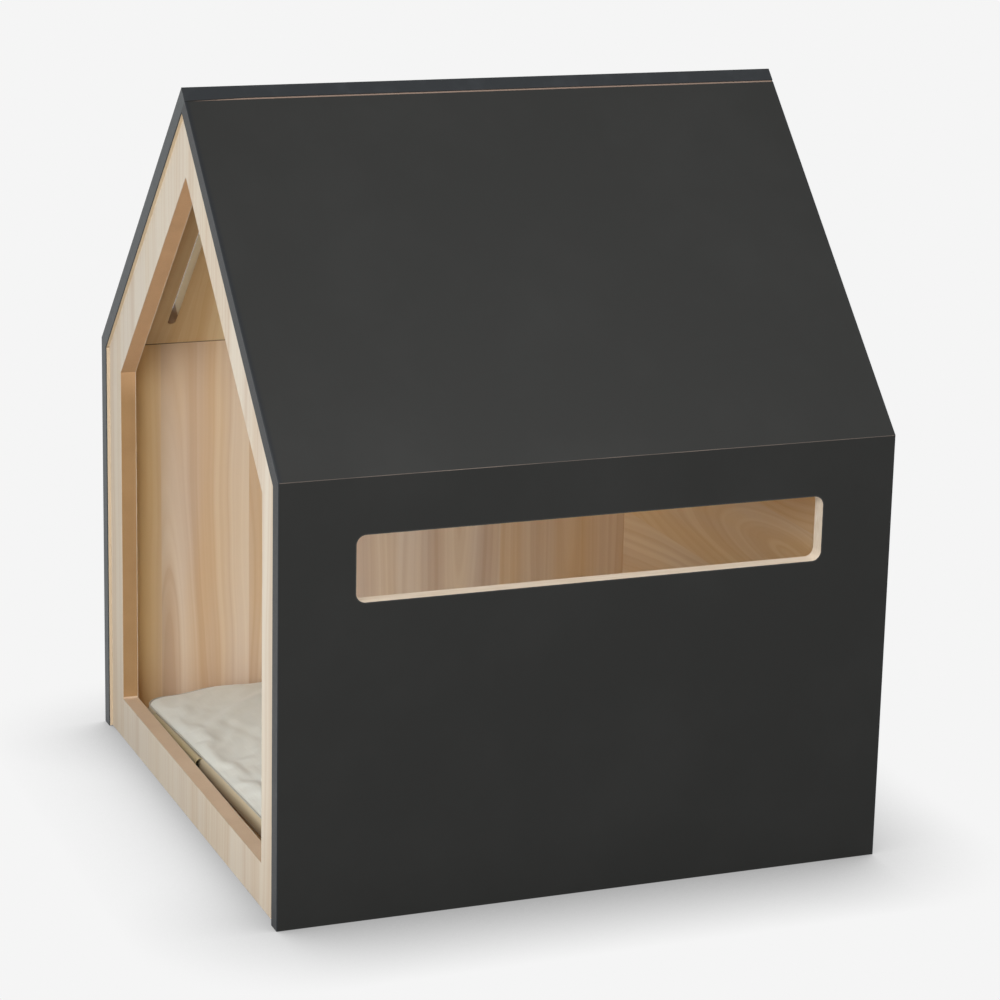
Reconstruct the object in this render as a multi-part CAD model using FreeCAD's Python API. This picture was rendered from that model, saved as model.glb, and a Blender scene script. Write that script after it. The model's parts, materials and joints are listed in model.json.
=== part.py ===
import FreeCAD, Part
import math
import os

from FreeCAD import Placement, Rotation, Vector

# A wooden pet house. X runs across it, Y from the front (-Y) to the back, Z up, in millimetres.
# The origin is on the floor at the middle of its base.

# Shell: two walls and two roof boards, faced boards cut from one thickness.
WIDTH = 600.0
DEPTH = 600.0
EAVES_HEIGHT = 416.0
ROOF_PITCH = 45.0
BOARD = 16.0

# Edge bands glued on the shell's front and back edges, with a softened outer arris.
EDGE_BAND = 1.0
BAND_ARRIS = 0.4

# The band on the left roof's top end is narrower than the board and widens towards the front,
# so that a strip of bare core shows along the ridge.
RIDGE_BARE_STRIP = 2.3
RIDGE_BARE_AT_FRONT = 0.5
RIDGE_BAND_TAPER = 60.0

# Front frame: a ring of one board, set back from the shell's front edges.
FRAME_SETBACK = 4.0
FRAME_THICKNESS = 16.0
FRAME_FACE = 43.0

# Back panel and floor board.
BACK_SETBACK = 2.0
BACK_THICKNESS = 12.0
FLOOR_THICKNESS = 16.0

# Window in the right wall, halfway from front to back. The sizes are those of the clear opening,
# and its top lies this far below the eaves.
WINDOW_LENGTH = 456.0
WINDOW_HEIGHT = 62.0
WINDOW_BELOW_EAVES = 53.0
WINDOW_CORNER = 9.0
WINDOW_LINING = 1.0

# Vent slot in the left roof, up the slope, as far from the inner eaves corner as from the apex.
VENT_FROM_FRONT = 62.0
VENT_WIDTH = 8.4
VENT_END_MARGIN = 36.2

# Biscuits across the eaves mitres, each set back from the mitre's inner corner.
BISCUIT_LENGTH = 47.0
BISCUIT_WIDTH = 15.0
BISCUIT_END = 4.0
BISCUIT_THICKNESS = 4.0
BISCUIT_SETBACK = 6.5
BISCUIT_COUNT = 5
BISCUIT_MARGIN = 60.0
BISCUIT_PLAY = 0.15

# Dowels. The depth is how far one goes into the face of the second board.
DOWEL_DIAMETER = 8.0
THIN_DOWEL_DIAMETER = 6.0
DOWEL_LENGTH = 30.0
DOWEL_DEPTH = 11.0
THIN_BOARD_DOWEL_DEPTH = 8.0
DOWEL_PLAY = 0.1
DOWEL_END_PLAY = 1.0
DOWEL_CHAMFER = 1.0
WALL_DOWEL_COUNT = 3
WALL_DOWEL_LOW = 90.0
WALL_DOWEL_MARGIN = 60.0
FLOOR_DOWEL_COUNT = 4
FLOOR_DOWEL_MARGIN = 70.0

# Screws through the left roof into the end of the right roof, each under a plastic cap.
SCREW_HEAD_DIAMETER = 10.0
SCREW_HEAD_HEIGHT = 3.0
SCREW_SHANK_DIAMETER = 7.0
SCREW_THREAD_DIAMETER = 5.5
SCREW_LENGTH = 40.0
SCREW_SOCKET = 4.0
SCREW_SOCKET_DEPTH = 2.5
SCREW_PLAY = 0.1
SCREW_COUNT = 4
SCREW_MARGIN = 75.0
CAP_DIAMETER = 12.0
CAP_HEIGHT = 1.6
CAP_ARRIS = 0.8
CAP_PEG_LENGTH = 2.0

# Cushion: a boxed cover round a foam core, lying a little turned on the floor board, which it is
# cut smaller than all in all by this slack.
CUSHION_SLACK_ACROSS = 36.0
CUSHION_SLACK_DEEP = 26.0
CUSHION_TURN = 1.9
CUSHION_CORNER = 40.0
CUSHION_DRAWN_IN = 2.0
CUSHION_SIDE = 24.0
CUSHION_SIDE_BULGE = 2.5
CUSHION_SEAM_INSET = 1.0
CUSHION_TUCK = 5.0
CUSHION_TUCK_HEIGHT = 8.0
CUSHION_CROWN = 16.0
CUSHION_CROWN_TOP = 75.0
CUSHION_SIDE_STEPS = 6
CUSHION_CROWN_STEPS = 5
CUSHION_GAP = 0.3
COVER_THICKNESS = 1.2
FOAM_GAP = 0.3

# Zip under a fabric hood on the left half of the cushion's front side. The hood starts near the
# cushion's left corner, and its open end faces right. Its slack is the room inside it over the
# slider, and its gap is how near it comes to the front frame.
HOOD_FROM_CORNER = 20.5
HOOD_LENGTH = 145.0
HOOD_SLACK = 0.34
HOOD_GAP = 0.7
HOOD_FABRIC = 0.8
HOOD_BELOW_SEAM = 1.0
HOOD_SHOULDER = 5.0
HOOD_BOTTOM = 4.0
TAPE_HEIGHT = 12.0
TAPE_THICKNESS = 0.5
ZIP_FROM_OPEN_END = 4.5
ZIP_FROM_CLOSED_END = 6.5
CHAIN_STEM_HEIGHT = 2.0
CHAIN_STEM_DEPTH = 0.6
CHAIN_HEIGHT = 3.6
CHAIN_DEPTH = 0.8
STOP_LENGTH = 2.5
STOP_HEIGHT = 4.6

# Slider and its short pull tab, which swings on a rivet.
SLIDER_LENGTH = 9.0
SLIDER_HEIGHT = 6.6
SLIDER_PLATE = 0.7
SLIDER_LIP = 0.3
SLIDER_PLAY = 0.12
RIVET_DIAMETER = 2.0
RIVET_HEAD_DIAMETER = 3.2
RIVET_HEAD_HEIGHT = 0.4
PULL_WIDTH = 4.4
PULL_LENGTH = 9.0
PULL_THICKNESS = 0.5
PULL_HOLE_PLAY = 0.08

# How far a cut starts before and ends past a board's faces, and how near two points count as one.
CUT_MARGIN = 1.0
SAME_POINT = 1e-6

ACROSS = Vector(1, 0, 0)
BACKWARD = Vector(0, 1, 0)
UP = Vector(0, 0, 1)
FRONT_Y = -DEPTH / 2
BACK_Y = DEPTH / 2

os.makedirs("parts", exist_ok=True)


def save(name, *solids):
    """Writes one node, a single solid or a group of like ones, to its own STEP file."""
    shape = solids[0] if len(solids) == 1 else Part.makeCompound(list(solids))
    shape.exportStep("parts/" + name + ".step")


def meet(line_a, line_b):
    """The point where two lines in the XZ plane cross. Each line is a point and a direction."""
    (p, d), (q, e) = line_a, line_b
    gap = q - p
    along = (gap.x * e.z - gap.z * e.x) / (d.x * e.z - d.z * e.x)
    return p + d * along


def shifted(line, direction, distance):
    """The same line moved along a direction."""
    point, run = line
    return (point + direction * distance, run)


def mirrored(vector):
    """The same point or direction on the other side of the house."""
    return Vector(-vector.x, vector.y, vector.z)


def slab(outline, y_front, y_back):
    """A board with a flat outline in the XZ plane, from one depth to another."""
    corners = [Vector(p.x, y_front, p.z) for p in outline]
    face = Part.Face(Part.makePolygon(corners + corners[:1]))
    return face.extrude(BACKWARD * (y_back - y_front))


def spread(count, low, high):
    """Evenly spaced places from low to high."""
    return [low + (high - low) * i / (count - 1) for i in range(count)]


def rounded_bar(centre, u, v, u_length, v_length, radius, run):
    """A bar with a round-cornered rectangle as its section, u by v, extruded along run."""
    a, b = u_length / 2, v_length / 2
    bend = radius * (1 - math.sqrt(0.5))

    def at(x, y):
        return centre + u * x + v * y

    edges = []
    for sx, sy in ((1, 1), (-1, 1), (-1, -1), (1, -1)):
        side = at(sx * a, sy * (b - radius))
        middle = at(sx * (a - bend), sy * (b - bend))
        end = at(sx * (a - radius), sy * b)
        first, last = (side, end) if sx * sy > 0 else (end, side)
        edges.append(Part.Arc(first, middle, last).toShape())
    loop = []
    for arc, following in zip(edges, edges[1:] + edges[:1]):
        loop.append(arc)
        start, end = arc.Vertexes[-1].Point, following.Vertexes[0].Point
        if start.distanceToPoint(end) > SAME_POINT:
            loop.append(Part.makeLine(start, end))
    return Part.Face(Part.Wire(loop)).extrude(run)


# The shell's section. The right side is worked out and the left side mirrors it, except at the
# ridge, where the left roof runs on over the end of the right roof.
pitch = math.radians(ROOF_PITCH)
right_slope = Vector(-math.cos(pitch), 0, math.sin(pitch))
right_out = Vector(math.sin(pitch), 0, math.cos(pitch))
left_slope, left_out = mirrored(right_slope), mirrored(right_out)

eaves = Vector(WIDTH / 2, 0, EAVES_HEIGHT)
right_top = (eaves, right_slope)
left_top = (mirrored(eaves), left_slope)
right_under = shifted(right_top, right_out, -BOARD)
left_under = shifted(left_top, left_out, -BOARD)
wall_inner = (Vector(WIDTH / 2 - BOARD, 0, 0), UP)

inner_eaves = meet(wall_inner, right_under)
inner_apex = meet(right_under, left_under)
apex = meet(right_top, left_top)
left_end = shifted(right_top, right_out, -EDGE_BAND)
inside_x = inner_eaves.x

wall_outline = [Vector(WIDTH / 2, 0, 0), eaves, inner_eaves, Vector(inside_x, 0, 0)]
right_roof_outline = [eaves, meet(right_top, left_under), inner_apex, inner_eaves]
left_roof_outline = [
    mirrored(eaves),
    meet(left_top, left_end),
    meet(left_under, left_end),
    mirrored(inner_eaves),
]
gable_outline = [
    Vector(inside_x, 0, 0),
    inner_eaves,
    inner_apex,
    mirrored(inner_eaves),
    Vector(-inside_x, 0, 0),
]

outlines = {
    "left_wall": [mirrored(p) for p in wall_outline],
    "right_wall": wall_outline,
    "left_roof": left_roof_outline,
    "right_roof": right_roof_outline,
}
boards = {}
for name, outline in outlines.items():
    boards[name] = slab(outline, FRONT_Y + EDGE_BAND, BACK_Y - EDGE_BAND)


# Edge bands on the boards' front and back ends.
def edge_band(outline, outer_y, inner_y):
    """A band as wide as the board's end, its two long outer edges softened."""
    band = slab(outline, min(outer_y, inner_y), max(outer_y, inner_y))
    outer = [
        edge
        for edge in band.Edges
        if edge.Length > 2 * BOARD
        and all(abs(v.Y - outer_y) < SAME_POINT for v in edge.Vertexes)
    ]
    return band.makeFillet(BAND_ARRIS, outer)


for name, outline in outlines.items():
    save(name + "_front_band", edge_band(outline, FRONT_Y, FRONT_Y + EDGE_BAND))
    save(name + "_back_band", edge_band(outline, BACK_Y, BACK_Y - EDGE_BAND))

# Band on the left roof's top end, flush with the right roof's top face.
ridge_width = BOARD - RIDGE_BARE_STRIP
ridge_width_at_front = BOARD - RIDGE_BARE_AT_FRONT
ridge_corners = [
    (FRONT_Y, 0),
    (BACK_Y, 0),
    (BACK_Y, ridge_width),
    (FRONT_Y + RIDGE_BAND_TAPER, ridge_width),
    (FRONT_Y, ridge_width_at_front),
]
ridge_points = [apex - right_slope * width + BACKWARD * y for y, width in ridge_corners]
ridge_face = Part.Face(Part.makePolygon(ridge_points + ridge_points[:1]))
save("ridge_band", ridge_face.extrude(right_out * -EDGE_BAND))

# Front frame, back panel and floor board stand between the walls.
frame_front = FRONT_Y + FRAME_SETBACK
frame_back = frame_front + FRAME_THICKNESS
panel_back = BACK_Y - BACK_SETBACK
panel_front = panel_back - BACK_THICKNESS

opening_side = shifted(wall_inner, ACROSS, -FRAME_FACE)
opening_right = shifted(right_under, right_out, -FRAME_FACE)
opening_left = shifted(left_under, left_out, -FRAME_FACE)
opening_eaves = meet(opening_side, opening_right)
opening_outline = [
    Vector(opening_eaves.x, 0, FRAME_FACE),
    opening_eaves,
    meet(opening_right, opening_left),
    mirrored(opening_eaves),
    Vector(-opening_eaves.x, 0, FRAME_FACE),
]
frame_ring = slab(gable_outline, frame_front, frame_back)
boards["front_frame"] = frame_ring.cut(slab(opening_outline, frame_front, frame_back))
boards["back_panel"] = slab(gable_outline, panel_front, panel_back)
boards["floor_board"] = Part.makeBox(
    2 * inside_x,
    panel_front - frame_back,
    FLOOR_THICKNESS,
    Vector(-inside_x, frame_back, 0),
)

# Window: the hole in the wall takes the lining, and the lining leaves the clear opening.
window_centre = Vector(inside_x, 0, EAVES_HEIGHT - WINDOW_BELOW_EAVES - WINDOW_HEIGHT / 2)


def window_bar(margin):
    """The window's opening, wider all round by a margin, through the thickness of the wall."""
    return rounded_bar(
        window_centre,
        BACKWARD,
        UP,
        WINDOW_LENGTH + 2 * margin,
        WINDOW_HEIGHT + 2 * margin,
        WINDOW_CORNER + margin,
        ACROSS * BOARD,
    )


boards["right_wall"] = boards["right_wall"].cut(window_bar(WINDOW_LINING))
save("window_lining", window_bar(WINDOW_LINING).cut(window_bar(0)))

# Vent slot with round ends, square through the left roof.
vent_middle = (mirrored(inner_eaves) + inner_apex) * 0.5
vent_middle += BACKWARD * (FRONT_Y + VENT_FROM_FRONT)
vent_length = inner_eaves.distanceToPoint(inner_apex) - 2 * VENT_END_MARGIN
vent = rounded_bar(
    vent_middle - left_out * CUT_MARGIN,
    left_slope,
    BACKWARD,
    vent_length,
    VENT_WIDTH,
    VENT_WIDTH / 2,
    left_out * (BOARD + 2 * CUT_MARGIN),
)
boards["left_roof"] = boards["left_roof"].cut(vent)


# Biscuits: thin lens-shaped tongues glued square across each eaves mitre.
def biscuit(centre, across_mitre, along_mitre, play):
    """One biscuit, or with some play the slot that takes it."""
    half_length = BISCUIT_LENGTH / 2 + play
    half_width = BISCUIT_WIDTH / 2 + play
    half_end = BISCUIT_END / 2 + play
    half_thickness = BISCUIT_THICKNESS / 2 + play
    base = centre - along_mitre * half_thickness

    def at(y, n):
        return base + BACKWARD * y + across_mitre * n

    loop = [
        Part.Arc(
            at(-half_length, half_end), at(0, half_width), at(half_length, half_end)
        ).toShape(),
        Part.makeLine(at(half_length, half_end), at(half_length, -half_end)),
        Part.Arc(
            at(half_length, -half_end), at(0, -half_width), at(-half_length, -half_end)
        ).toShape(),
        Part.makeLine(at(-half_length, -half_end), at(-half_length, half_end)),
    ]
    return Part.Face(Part.Wire(loop)).extrude(along_mitre * (2 * half_thickness))


for side, turn in (("left", mirrored), ("right", Vector)):
    inner_corner = turn(inner_eaves)
    along_mitre = (turn(eaves) - inner_corner).normalize()
    across_mitre = BACKWARD.cross(along_mitre)
    start = inner_corner + along_mitre * BISCUIT_SETBACK
    places = spread(BISCUIT_COUNT, FRONT_Y + BISCUIT_MARGIN, BACK_Y - BISCUIT_MARGIN)
    biscuits = []
    for y in places:
        centre = start + BACKWARD * y
        biscuits.append(biscuit(centre, across_mitre, along_mitre, 0))
        slot = biscuit(centre, across_mitre, along_mitre, BISCUIT_PLAY)
        for name in (side + "_wall", side + "_roof"):
            boards[name] = boards[name].cut(slot)
    save(side + "_eaves_biscuits", *biscuits)


# Dowels.
def dowel_joint(place, into_face, diameter, depth, face_board, edge_board):
    """Bores both boards at a point of their joint and returns the dowel that fills the bores."""
    radius = diameter / 2
    start = place - into_face * (DOWEL_LENGTH - depth)
    bore = Part.makeCylinder(
        radius + DOWEL_PLAY,
        DOWEL_LENGTH + 2 * DOWEL_END_PLAY,
        start - into_face * DOWEL_END_PLAY,
        into_face,
    )
    boards[face_board] = boards[face_board].cut(bore)
    boards[edge_board] = boards[edge_board].cut(bore)
    pin = Part.makeCylinder(radius, DOWEL_LENGTH, start, into_face)
    rims = [edge for edge in pin.Edges if isinstance(edge.Curve, Part.Circle)]
    return pin.makeChamfer(DOWEL_CHAMFER, rims)


wall_heights = spread(WALL_DOWEL_COUNT, WALL_DOWEL_LOW, inner_eaves.z - WALL_DOWEL_MARGIN)
floor_depths = spread(
    FLOOR_DOWEL_COUNT, frame_back + FLOOR_DOWEL_MARGIN, panel_front - FLOOR_DOWEL_MARGIN
)
floor_widths = spread(
    FLOOR_DOWEL_COUNT, -inside_x + FLOOR_DOWEL_MARGIN, inside_x - FLOOR_DOWEL_MARGIN
)
frame_middle = (frame_front + frame_back) / 2
panel_middle = (panel_front + panel_back) / 2
floor_middle = FLOOR_THICKNESS / 2

frame_dowels = []
back_dowels = []
floor_dowels = []
for side, x, outward in (("left", -inside_x, -ACROSS), ("right", inside_x, ACROSS)):
    wall = side + "_wall"
    for z in wall_heights:
        place = Vector(x, frame_middle, z)
        frame_dowels.append(
            dowel_joint(place, outward, DOWEL_DIAMETER, DOWEL_DEPTH, wall, "front_frame")
        )
        place = Vector(x, panel_middle, z)
        back_dowels.append(
            dowel_joint(place, outward, THIN_DOWEL_DIAMETER, DOWEL_DEPTH, wall, "back_panel")
        )
    for y in floor_depths:
        place = Vector(x, y, floor_middle)
        floor_dowels.append(
            dowel_joint(place, outward, DOWEL_DIAMETER, DOWEL_DEPTH, wall, "floor_board")
        )
for x in floor_widths:
    place = Vector(x, frame_back, floor_middle)
    floor_dowels.append(
        dowel_joint(
            place, -BACKWARD, DOWEL_DIAMETER, DOWEL_DEPTH, "front_frame", "floor_board"
        )
    )
    place = Vector(x, panel_front, floor_middle)
    floor_dowels.append(
        dowel_joint(
            place, BACKWARD, DOWEL_DIAMETER, THIN_BOARD_DOWEL_DEPTH, "back_panel", "floor_board"
        )
    )
save("frame_dowels", *frame_dowels)
save("back_dowels", *back_dowels)
save("floor_dowels", *floor_dowels)

# Ridge screws, from the left roof's top face into the right roof's end. The head's cylinder is
# let in flush, and a cap on a peg plugs the socket.
screw_line = (meet(right_top, left_under) + inner_apex) * 0.5
screw_in = -left_out
screw_start = screw_line + left_out * BOARD
screws = []
caps = []
for y in spread(SCREW_COUNT, FRONT_Y + SCREW_MARGIN, BACK_Y - SCREW_MARGIN):
    top = screw_start + BACKWARD * y

    def turned(diameter, begin, length):
        return Part.makeCylinder(diameter / 2, length, top + screw_in * begin, screw_in)

    head = turned(SCREW_HEAD_DIAMETER, 0, SCREW_HEAD_HEIGHT)
    shank = turned(SCREW_SHANK_DIAMETER, 0, BOARD)
    thread = turned(SCREW_THREAD_DIAMETER, 0, SCREW_LENGTH)
    socket = turned(SCREW_SOCKET, 0, SCREW_SOCKET_DEPTH)
    screws.append(head.fuse(shank).fuse(thread).removeSplitter().cut(socket))

    counterbore = turned(SCREW_HEAD_DIAMETER + 2 * SCREW_PLAY, 0, SCREW_HEAD_HEIGHT)
    clearance = turned(SCREW_SHANK_DIAMETER + 2 * SCREW_PLAY, 0, BOARD + SCREW_PLAY)
    pilot = turned(SCREW_THREAD_DIAMETER + 2 * SCREW_PLAY, 0, SCREW_LENGTH + DOWEL_END_PLAY)
    boards["left_roof"] = boards["left_roof"].cut(counterbore).cut(clearance)
    boards["right_roof"] = boards["right_roof"].cut(clearance).cut(pilot)

    disc = turned(CAP_DIAMETER, -CAP_HEIGHT, CAP_HEIGHT)
    rim = [e for e in disc.Edges if (e.CenterOfMass - top).dot(left_out) > CAP_HEIGHT / 2]
    rim = [e for e in rim if isinstance(e.Curve, Part.Circle)]
    peg = turned(SCREW_SOCKET - 2 * SCREW_PLAY, -CAP_HEIGHT / 2, CAP_HEIGHT / 2 + CAP_PEG_LENGTH)
    caps.append(disc.makeFillet(CAP_ARRIS, rim).fuse(peg).removeSplitter())
save("ridge_screws", *screws)
save("ridge_screw_caps", *caps)

for name, board in boards.items():
    save(name, board)


# Cushion. It is made about its own centre, its underside at zero, and then laid in place.
cushion_half_width = inside_x - CUSHION_SLACK_ACROSS / 2
cushion_half_depth = (panel_front - frame_back - CUSHION_SLACK_DEEP) / 2
crown_reach = (
    min(cushion_half_width, cushion_half_depth) - CUSHION_SEAM_INSET - CUSHION_CROWN_TOP
)


def cushion_ring(height, inset):
    """One level round the cushion: four sides that draw in a little, and round corners."""
    half_x = cushion_half_width - inset
    half_y = cushion_half_depth - inset
    flat_x, flat_y = half_x - CUSHION_CORNER, half_y - CUSHION_CORNER
    bend = CUSHION_CORNER * math.sqrt(0.5)
    drawn_x, drawn_y = half_x - CUSHION_DRAWN_IN, half_y - CUSHION_DRAWN_IN

    def arc(*points):
        return Part.Arc(*[Vector(x, y, height) for x, y in points]).toShape()

    edges = []
    edges.append(arc((-flat_x, -half_y), (0, -drawn_y), (flat_x, -half_y)))
    edges.append(
        arc((flat_x, -half_y), (flat_x + bend, -flat_y - bend), (half_x, -flat_y))
    )
    edges.append(arc((half_x, -flat_y), (drawn_x, 0), (half_x, flat_y)))
    edges.append(arc((half_x, flat_y), (flat_x + bend, flat_y + bend), (flat_x, half_y)))
    edges.append(arc((flat_x, half_y), (0, drawn_y), (-flat_x, half_y)))
    edges.append(
        arc((-flat_x, half_y), (-flat_x - bend, flat_y + bend), (-half_x, flat_y))
    )
    edges.append(arc((-half_x, flat_y), (-drawn_x, 0), (-half_x, -flat_y)))
    edges.append(
        arc((-half_x, -flat_y), (-flat_x - bend, -flat_y - bend), (-flat_x, -half_y))
    )
    return Part.Wire(edges)


def side_inset(height):
    """How far the side lies inside the widest line: it bulges, and tucks under at the bottom."""
    bulge = CUSHION_SIDE_BULGE * math.sin(math.pi * height / CUSHION_SIDE)
    tuck = CUSHION_TUCK * max(0, 1 - height / CUSHION_TUCK_HEIGHT) ** 2
    return CUSHION_SEAM_INSET - bulge + tuck


def pillow(skin):
    """The cushion's full form, all round smaller by a skin."""
    side = []
    for height in spread(CUSHION_SIDE_STEPS + 1, skin, CUSHION_SIDE):
        side.append(cushion_ring(height, side_inset(height) + skin))
    crown = []
    for step in range(CUSHION_CROWN_STEPS + 1):
        share = step / CUSHION_CROWN_STEPS
        rise = (CUSHION_CROWN - skin) * (1 - (1 - share) ** 2)
        inset = CUSHION_SEAM_INSET + skin + crown_reach * share
        crown.append(cushion_ring(CUSHION_SIDE + rise, inset))
    lower = Part.makeLoft(side, True, False)
    upper = Part.makeLoft(crown, True, False)
    return lower.fuse(upper)


# The zip runs level, halfway up the front side, on the line through the side's two places at the
# hood's ends. Its own frame starts at the hood's open end: X to the right, -Y out of the cushion.
zip_height = CUSHION_SIDE / 2
side_half = cushion_half_width - side_inset(zip_height) - CUSHION_CORNER
front_face_y = -cushion_half_depth + side_inset(zip_height)


def front_point(x):
    """A point of the cushion's front side at the zip's height."""
    drawn = CUSHION_DRAWN_IN * (1 - (x / side_half) ** 2)
    return Vector(x, front_face_y + drawn, zip_height)


hood_start_x = -side_half + HOOD_FROM_CORNER
zip_start = front_point(hood_start_x)
zip_end = front_point(hood_start_x + HOOD_LENGTH)
zip_place = Placement(zip_end, Rotation(ACROSS, zip_end - zip_start))

# Depths out of the cushion's side, each layer on the one before it, from the tape to the hood.
stem_out = TAPE_THICKNESS + CHAIN_STEM_DEPTH
chain_out = stem_out + CHAIN_DEPTH
plate_low = chain_out + SLIDER_PLAY
plate_high = plate_low + SLIDER_PLATE
pull_low = plate_high + SLIDER_PLAY
pull_high = pull_low + PULL_THICKNESS
rivet_out = pull_high + SLIDER_PLAY
hood_out = rivet_out + RIVET_HEAD_HEIGHT + HOOD_SLACK + HOOD_FABRIC

# The cushion lies where the hood's foremost corner clears the front frame by the hood's gap.
cushion_turn = Rotation(UP, CUSHION_TURN)
hood_corner = cushion_turn.multVec(zip_place.multVec(Vector(-HOOD_LENGTH, -hood_out, 0)))
cushion_y = frame_back + HOOD_GAP - hood_corner.y
cushion_place = Placement(Vector(0, cushion_y, FLOOR_THICKNESS + CUSHION_GAP), cushion_turn)


def lay(shape):
    """Carries a piece of the cushion from where it is made to where it lies."""
    shape.Placement = cushion_place.multiply(shape.Placement)
    return shape


cushion_form = pillow(0)
save("cushion_cover", lay(cushion_form.cut(pillow(COVER_THICKNESS))))
save("cushion_foam", lay(pillow(COVER_THICKNESS + FOAM_GAP)))


def zip_box(x_low, x_high, depth_low, depth_high, height, middle=0):
    """A block in the zip's frame, between two depths out of the cushion, about a height."""
    return Part.makeBox(
        x_high - x_low,
        depth_high - depth_low,
        height,
        Vector(x_low, -depth_high, middle - height / 2),
    )


def sew(shape):
    """Carries a piece of the zip into place on the cushion, and then lays it with the cushion."""
    shape.Placement = zip_place.multiply(shape.Placement)
    return shape


# Hood: one strip of fabric, hung from below the top seam, over a shoulder and down.
hood_top = CUSHION_SIDE / 2 - HOOD_BELOW_SEAM
hood_low = HOOD_BOTTOM - CUSHION_SIDE / 2
root = CUSHION_SIDE_BULGE + HOOD_FABRIC


def hood_section(inward):
    """The hood's section from its root to its free edge, moved inward by its thickness."""
    out = -hood_out + inward
    top = hood_top - inward
    lean = HOOD_SHOULDER - inward
    bend = lean * (1 - math.sqrt(0.5))
    return [
        Vector(0, root, top),
        Vector(0, out + lean, top),
        Vector(0, out + bend, top - bend),
        Vector(0, out, top - lean),
        Vector(0, out, hood_low),
    ]


outside, inside = hood_section(0), hood_section(HOOD_FABRIC)
hood_loop = [
    Part.makeLine(outside[0], outside[1]),
    Part.Arc(*outside[1:4]).toShape(),
    Part.makeLine(outside[3], outside[4]),
    Part.makeLine(outside[4], inside[4]),
    Part.makeLine(inside[4], inside[3]),
    Part.Arc(inside[3], inside[2], inside[1]).toShape(),
    Part.makeLine(inside[1], inside[0]),
    Part.makeLine(inside[0], outside[0]),
]
hood = Part.Face(Part.Wire(hood_loop)).extrude(-ACROSS * HOOD_LENGTH)
save("zip_hood", lay(sew(hood).cut(cushion_form)))

# Tape with its chain of coil, a rib with an overhung head that the slider wraps.
zip_right = -ZIP_FROM_OPEN_END
zip_left = ZIP_FROM_CLOSED_END - HOOD_LENGTH
tape = zip_box(
    zip_left - STOP_LENGTH, zip_right + STOP_LENGTH, -root, TAPE_THICKNESS, TAPE_HEIGHT
)
stem = zip_box(zip_left, zip_right, TAPE_THICKNESS, stem_out, CHAIN_STEM_HEIGHT)
coil = zip_box(zip_left, zip_right, stem_out, chain_out, CHAIN_HEIGHT)
tape_and_chain = sew(tape.fuse(stem).fuse(coil).removeSplitter())
save("zip_tape", lay(tape_and_chain.cut(cushion_form)))

# End stops: two small metal blocks pressed on the tape at the chain's ends.
stops = []
for x in (zip_left - STOP_LENGTH, zip_right):
    stop = zip_box(x, x + STOP_LENGTH, TAPE_THICKNESS, chain_out, STOP_HEIGHT)
    stops.append(lay(sew(stop)))
save("zip_end_stops", *stops)

# Slider: a channel round the chain's head, with a rivet for the pull tab. It rests at the
# right-hand stop.
slider_right = zip_right - SLIDER_PLAY
slider_left = slider_right - SLIDER_LENGTH
lip_low = stem_out - SLIDER_PLAY - SLIDER_LIP
body = zip_box(slider_left, slider_right, lip_low, plate_high, SLIDER_HEIGHT)
head_room = zip_box(
    slider_left,
    slider_right,
    stem_out - SLIDER_PLAY,
    plate_low,
    CHAIN_HEIGHT + 2 * SLIDER_PLAY,
)
stem_room = zip_box(
    slider_left, slider_right, 0, stem_out, CHAIN_STEM_HEIGHT + 2 * SLIDER_PLAY
)
rivet_x = (slider_left + slider_right) / 2


def out_from(x, depth):
    """A point of the zip's frame at a depth out of the cushion, halfway up the chain."""
    return Vector(x, -depth, 0)


rivet = Part.makeCylinder(
    RIVET_DIAMETER / 2, rivet_out - plate_low, out_from(rivet_x, plate_low), -BACKWARD
)
rivet_head = Part.makeCylinder(
    RIVET_HEAD_DIAMETER / 2, RIVET_HEAD_HEIGHT, out_from(rivet_x, rivet_out), -BACKWARD
)
slider = body.cut(head_room).cut(stem_room).fuse(rivet).fuse(rivet_head).removeSplitter()
save("zip_slider", lay(sew(slider)))

# Pull tab: a short flat tab with a round end about the rivet, hanging straight down.
eye = Part.makeCylinder(
    PULL_WIDTH / 2, PULL_THICKNESS, out_from(rivet_x, pull_low), -BACKWARD
)
tongue = zip_box(
    rivet_x - PULL_WIDTH / 2,
    rivet_x + PULL_WIDTH / 2,
    pull_low,
    pull_high,
    PULL_LENGTH,
    -PULL_LENGTH / 2,
)
hole = Part.makeCylinder(
    RIVET_DIAMETER / 2 + PULL_HOLE_PLAY,
    PULL_THICKNESS,
    out_from(rivet_x, pull_low),
    -BACKWARD,
)
save("zip_pull", lay(sew(eye.fuse(tongue).cut(hole).removeSplitter())))

# What a record of the moving pieces needs: the zip's line, its travel and the tab's pivot.
whole = cushion_place.multiply(zip_place)
print("zip opens along", whole.Rotation.multVec(-ACROSS))
print("slider travel", zip_right - zip_left - SLIDER_LENGTH - 2 * SLIDER_PLAY)
print("pull pivot", whole.multVec(out_from(rivet_x, pull_low)))
print("pull axis", whole.Rotation.multVec(-BACKWARD))
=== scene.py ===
import json
import math
import random
from functools import partialmethod

import bmesh
import bpy
from mathutils import Matrix, Vector, noise


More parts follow.
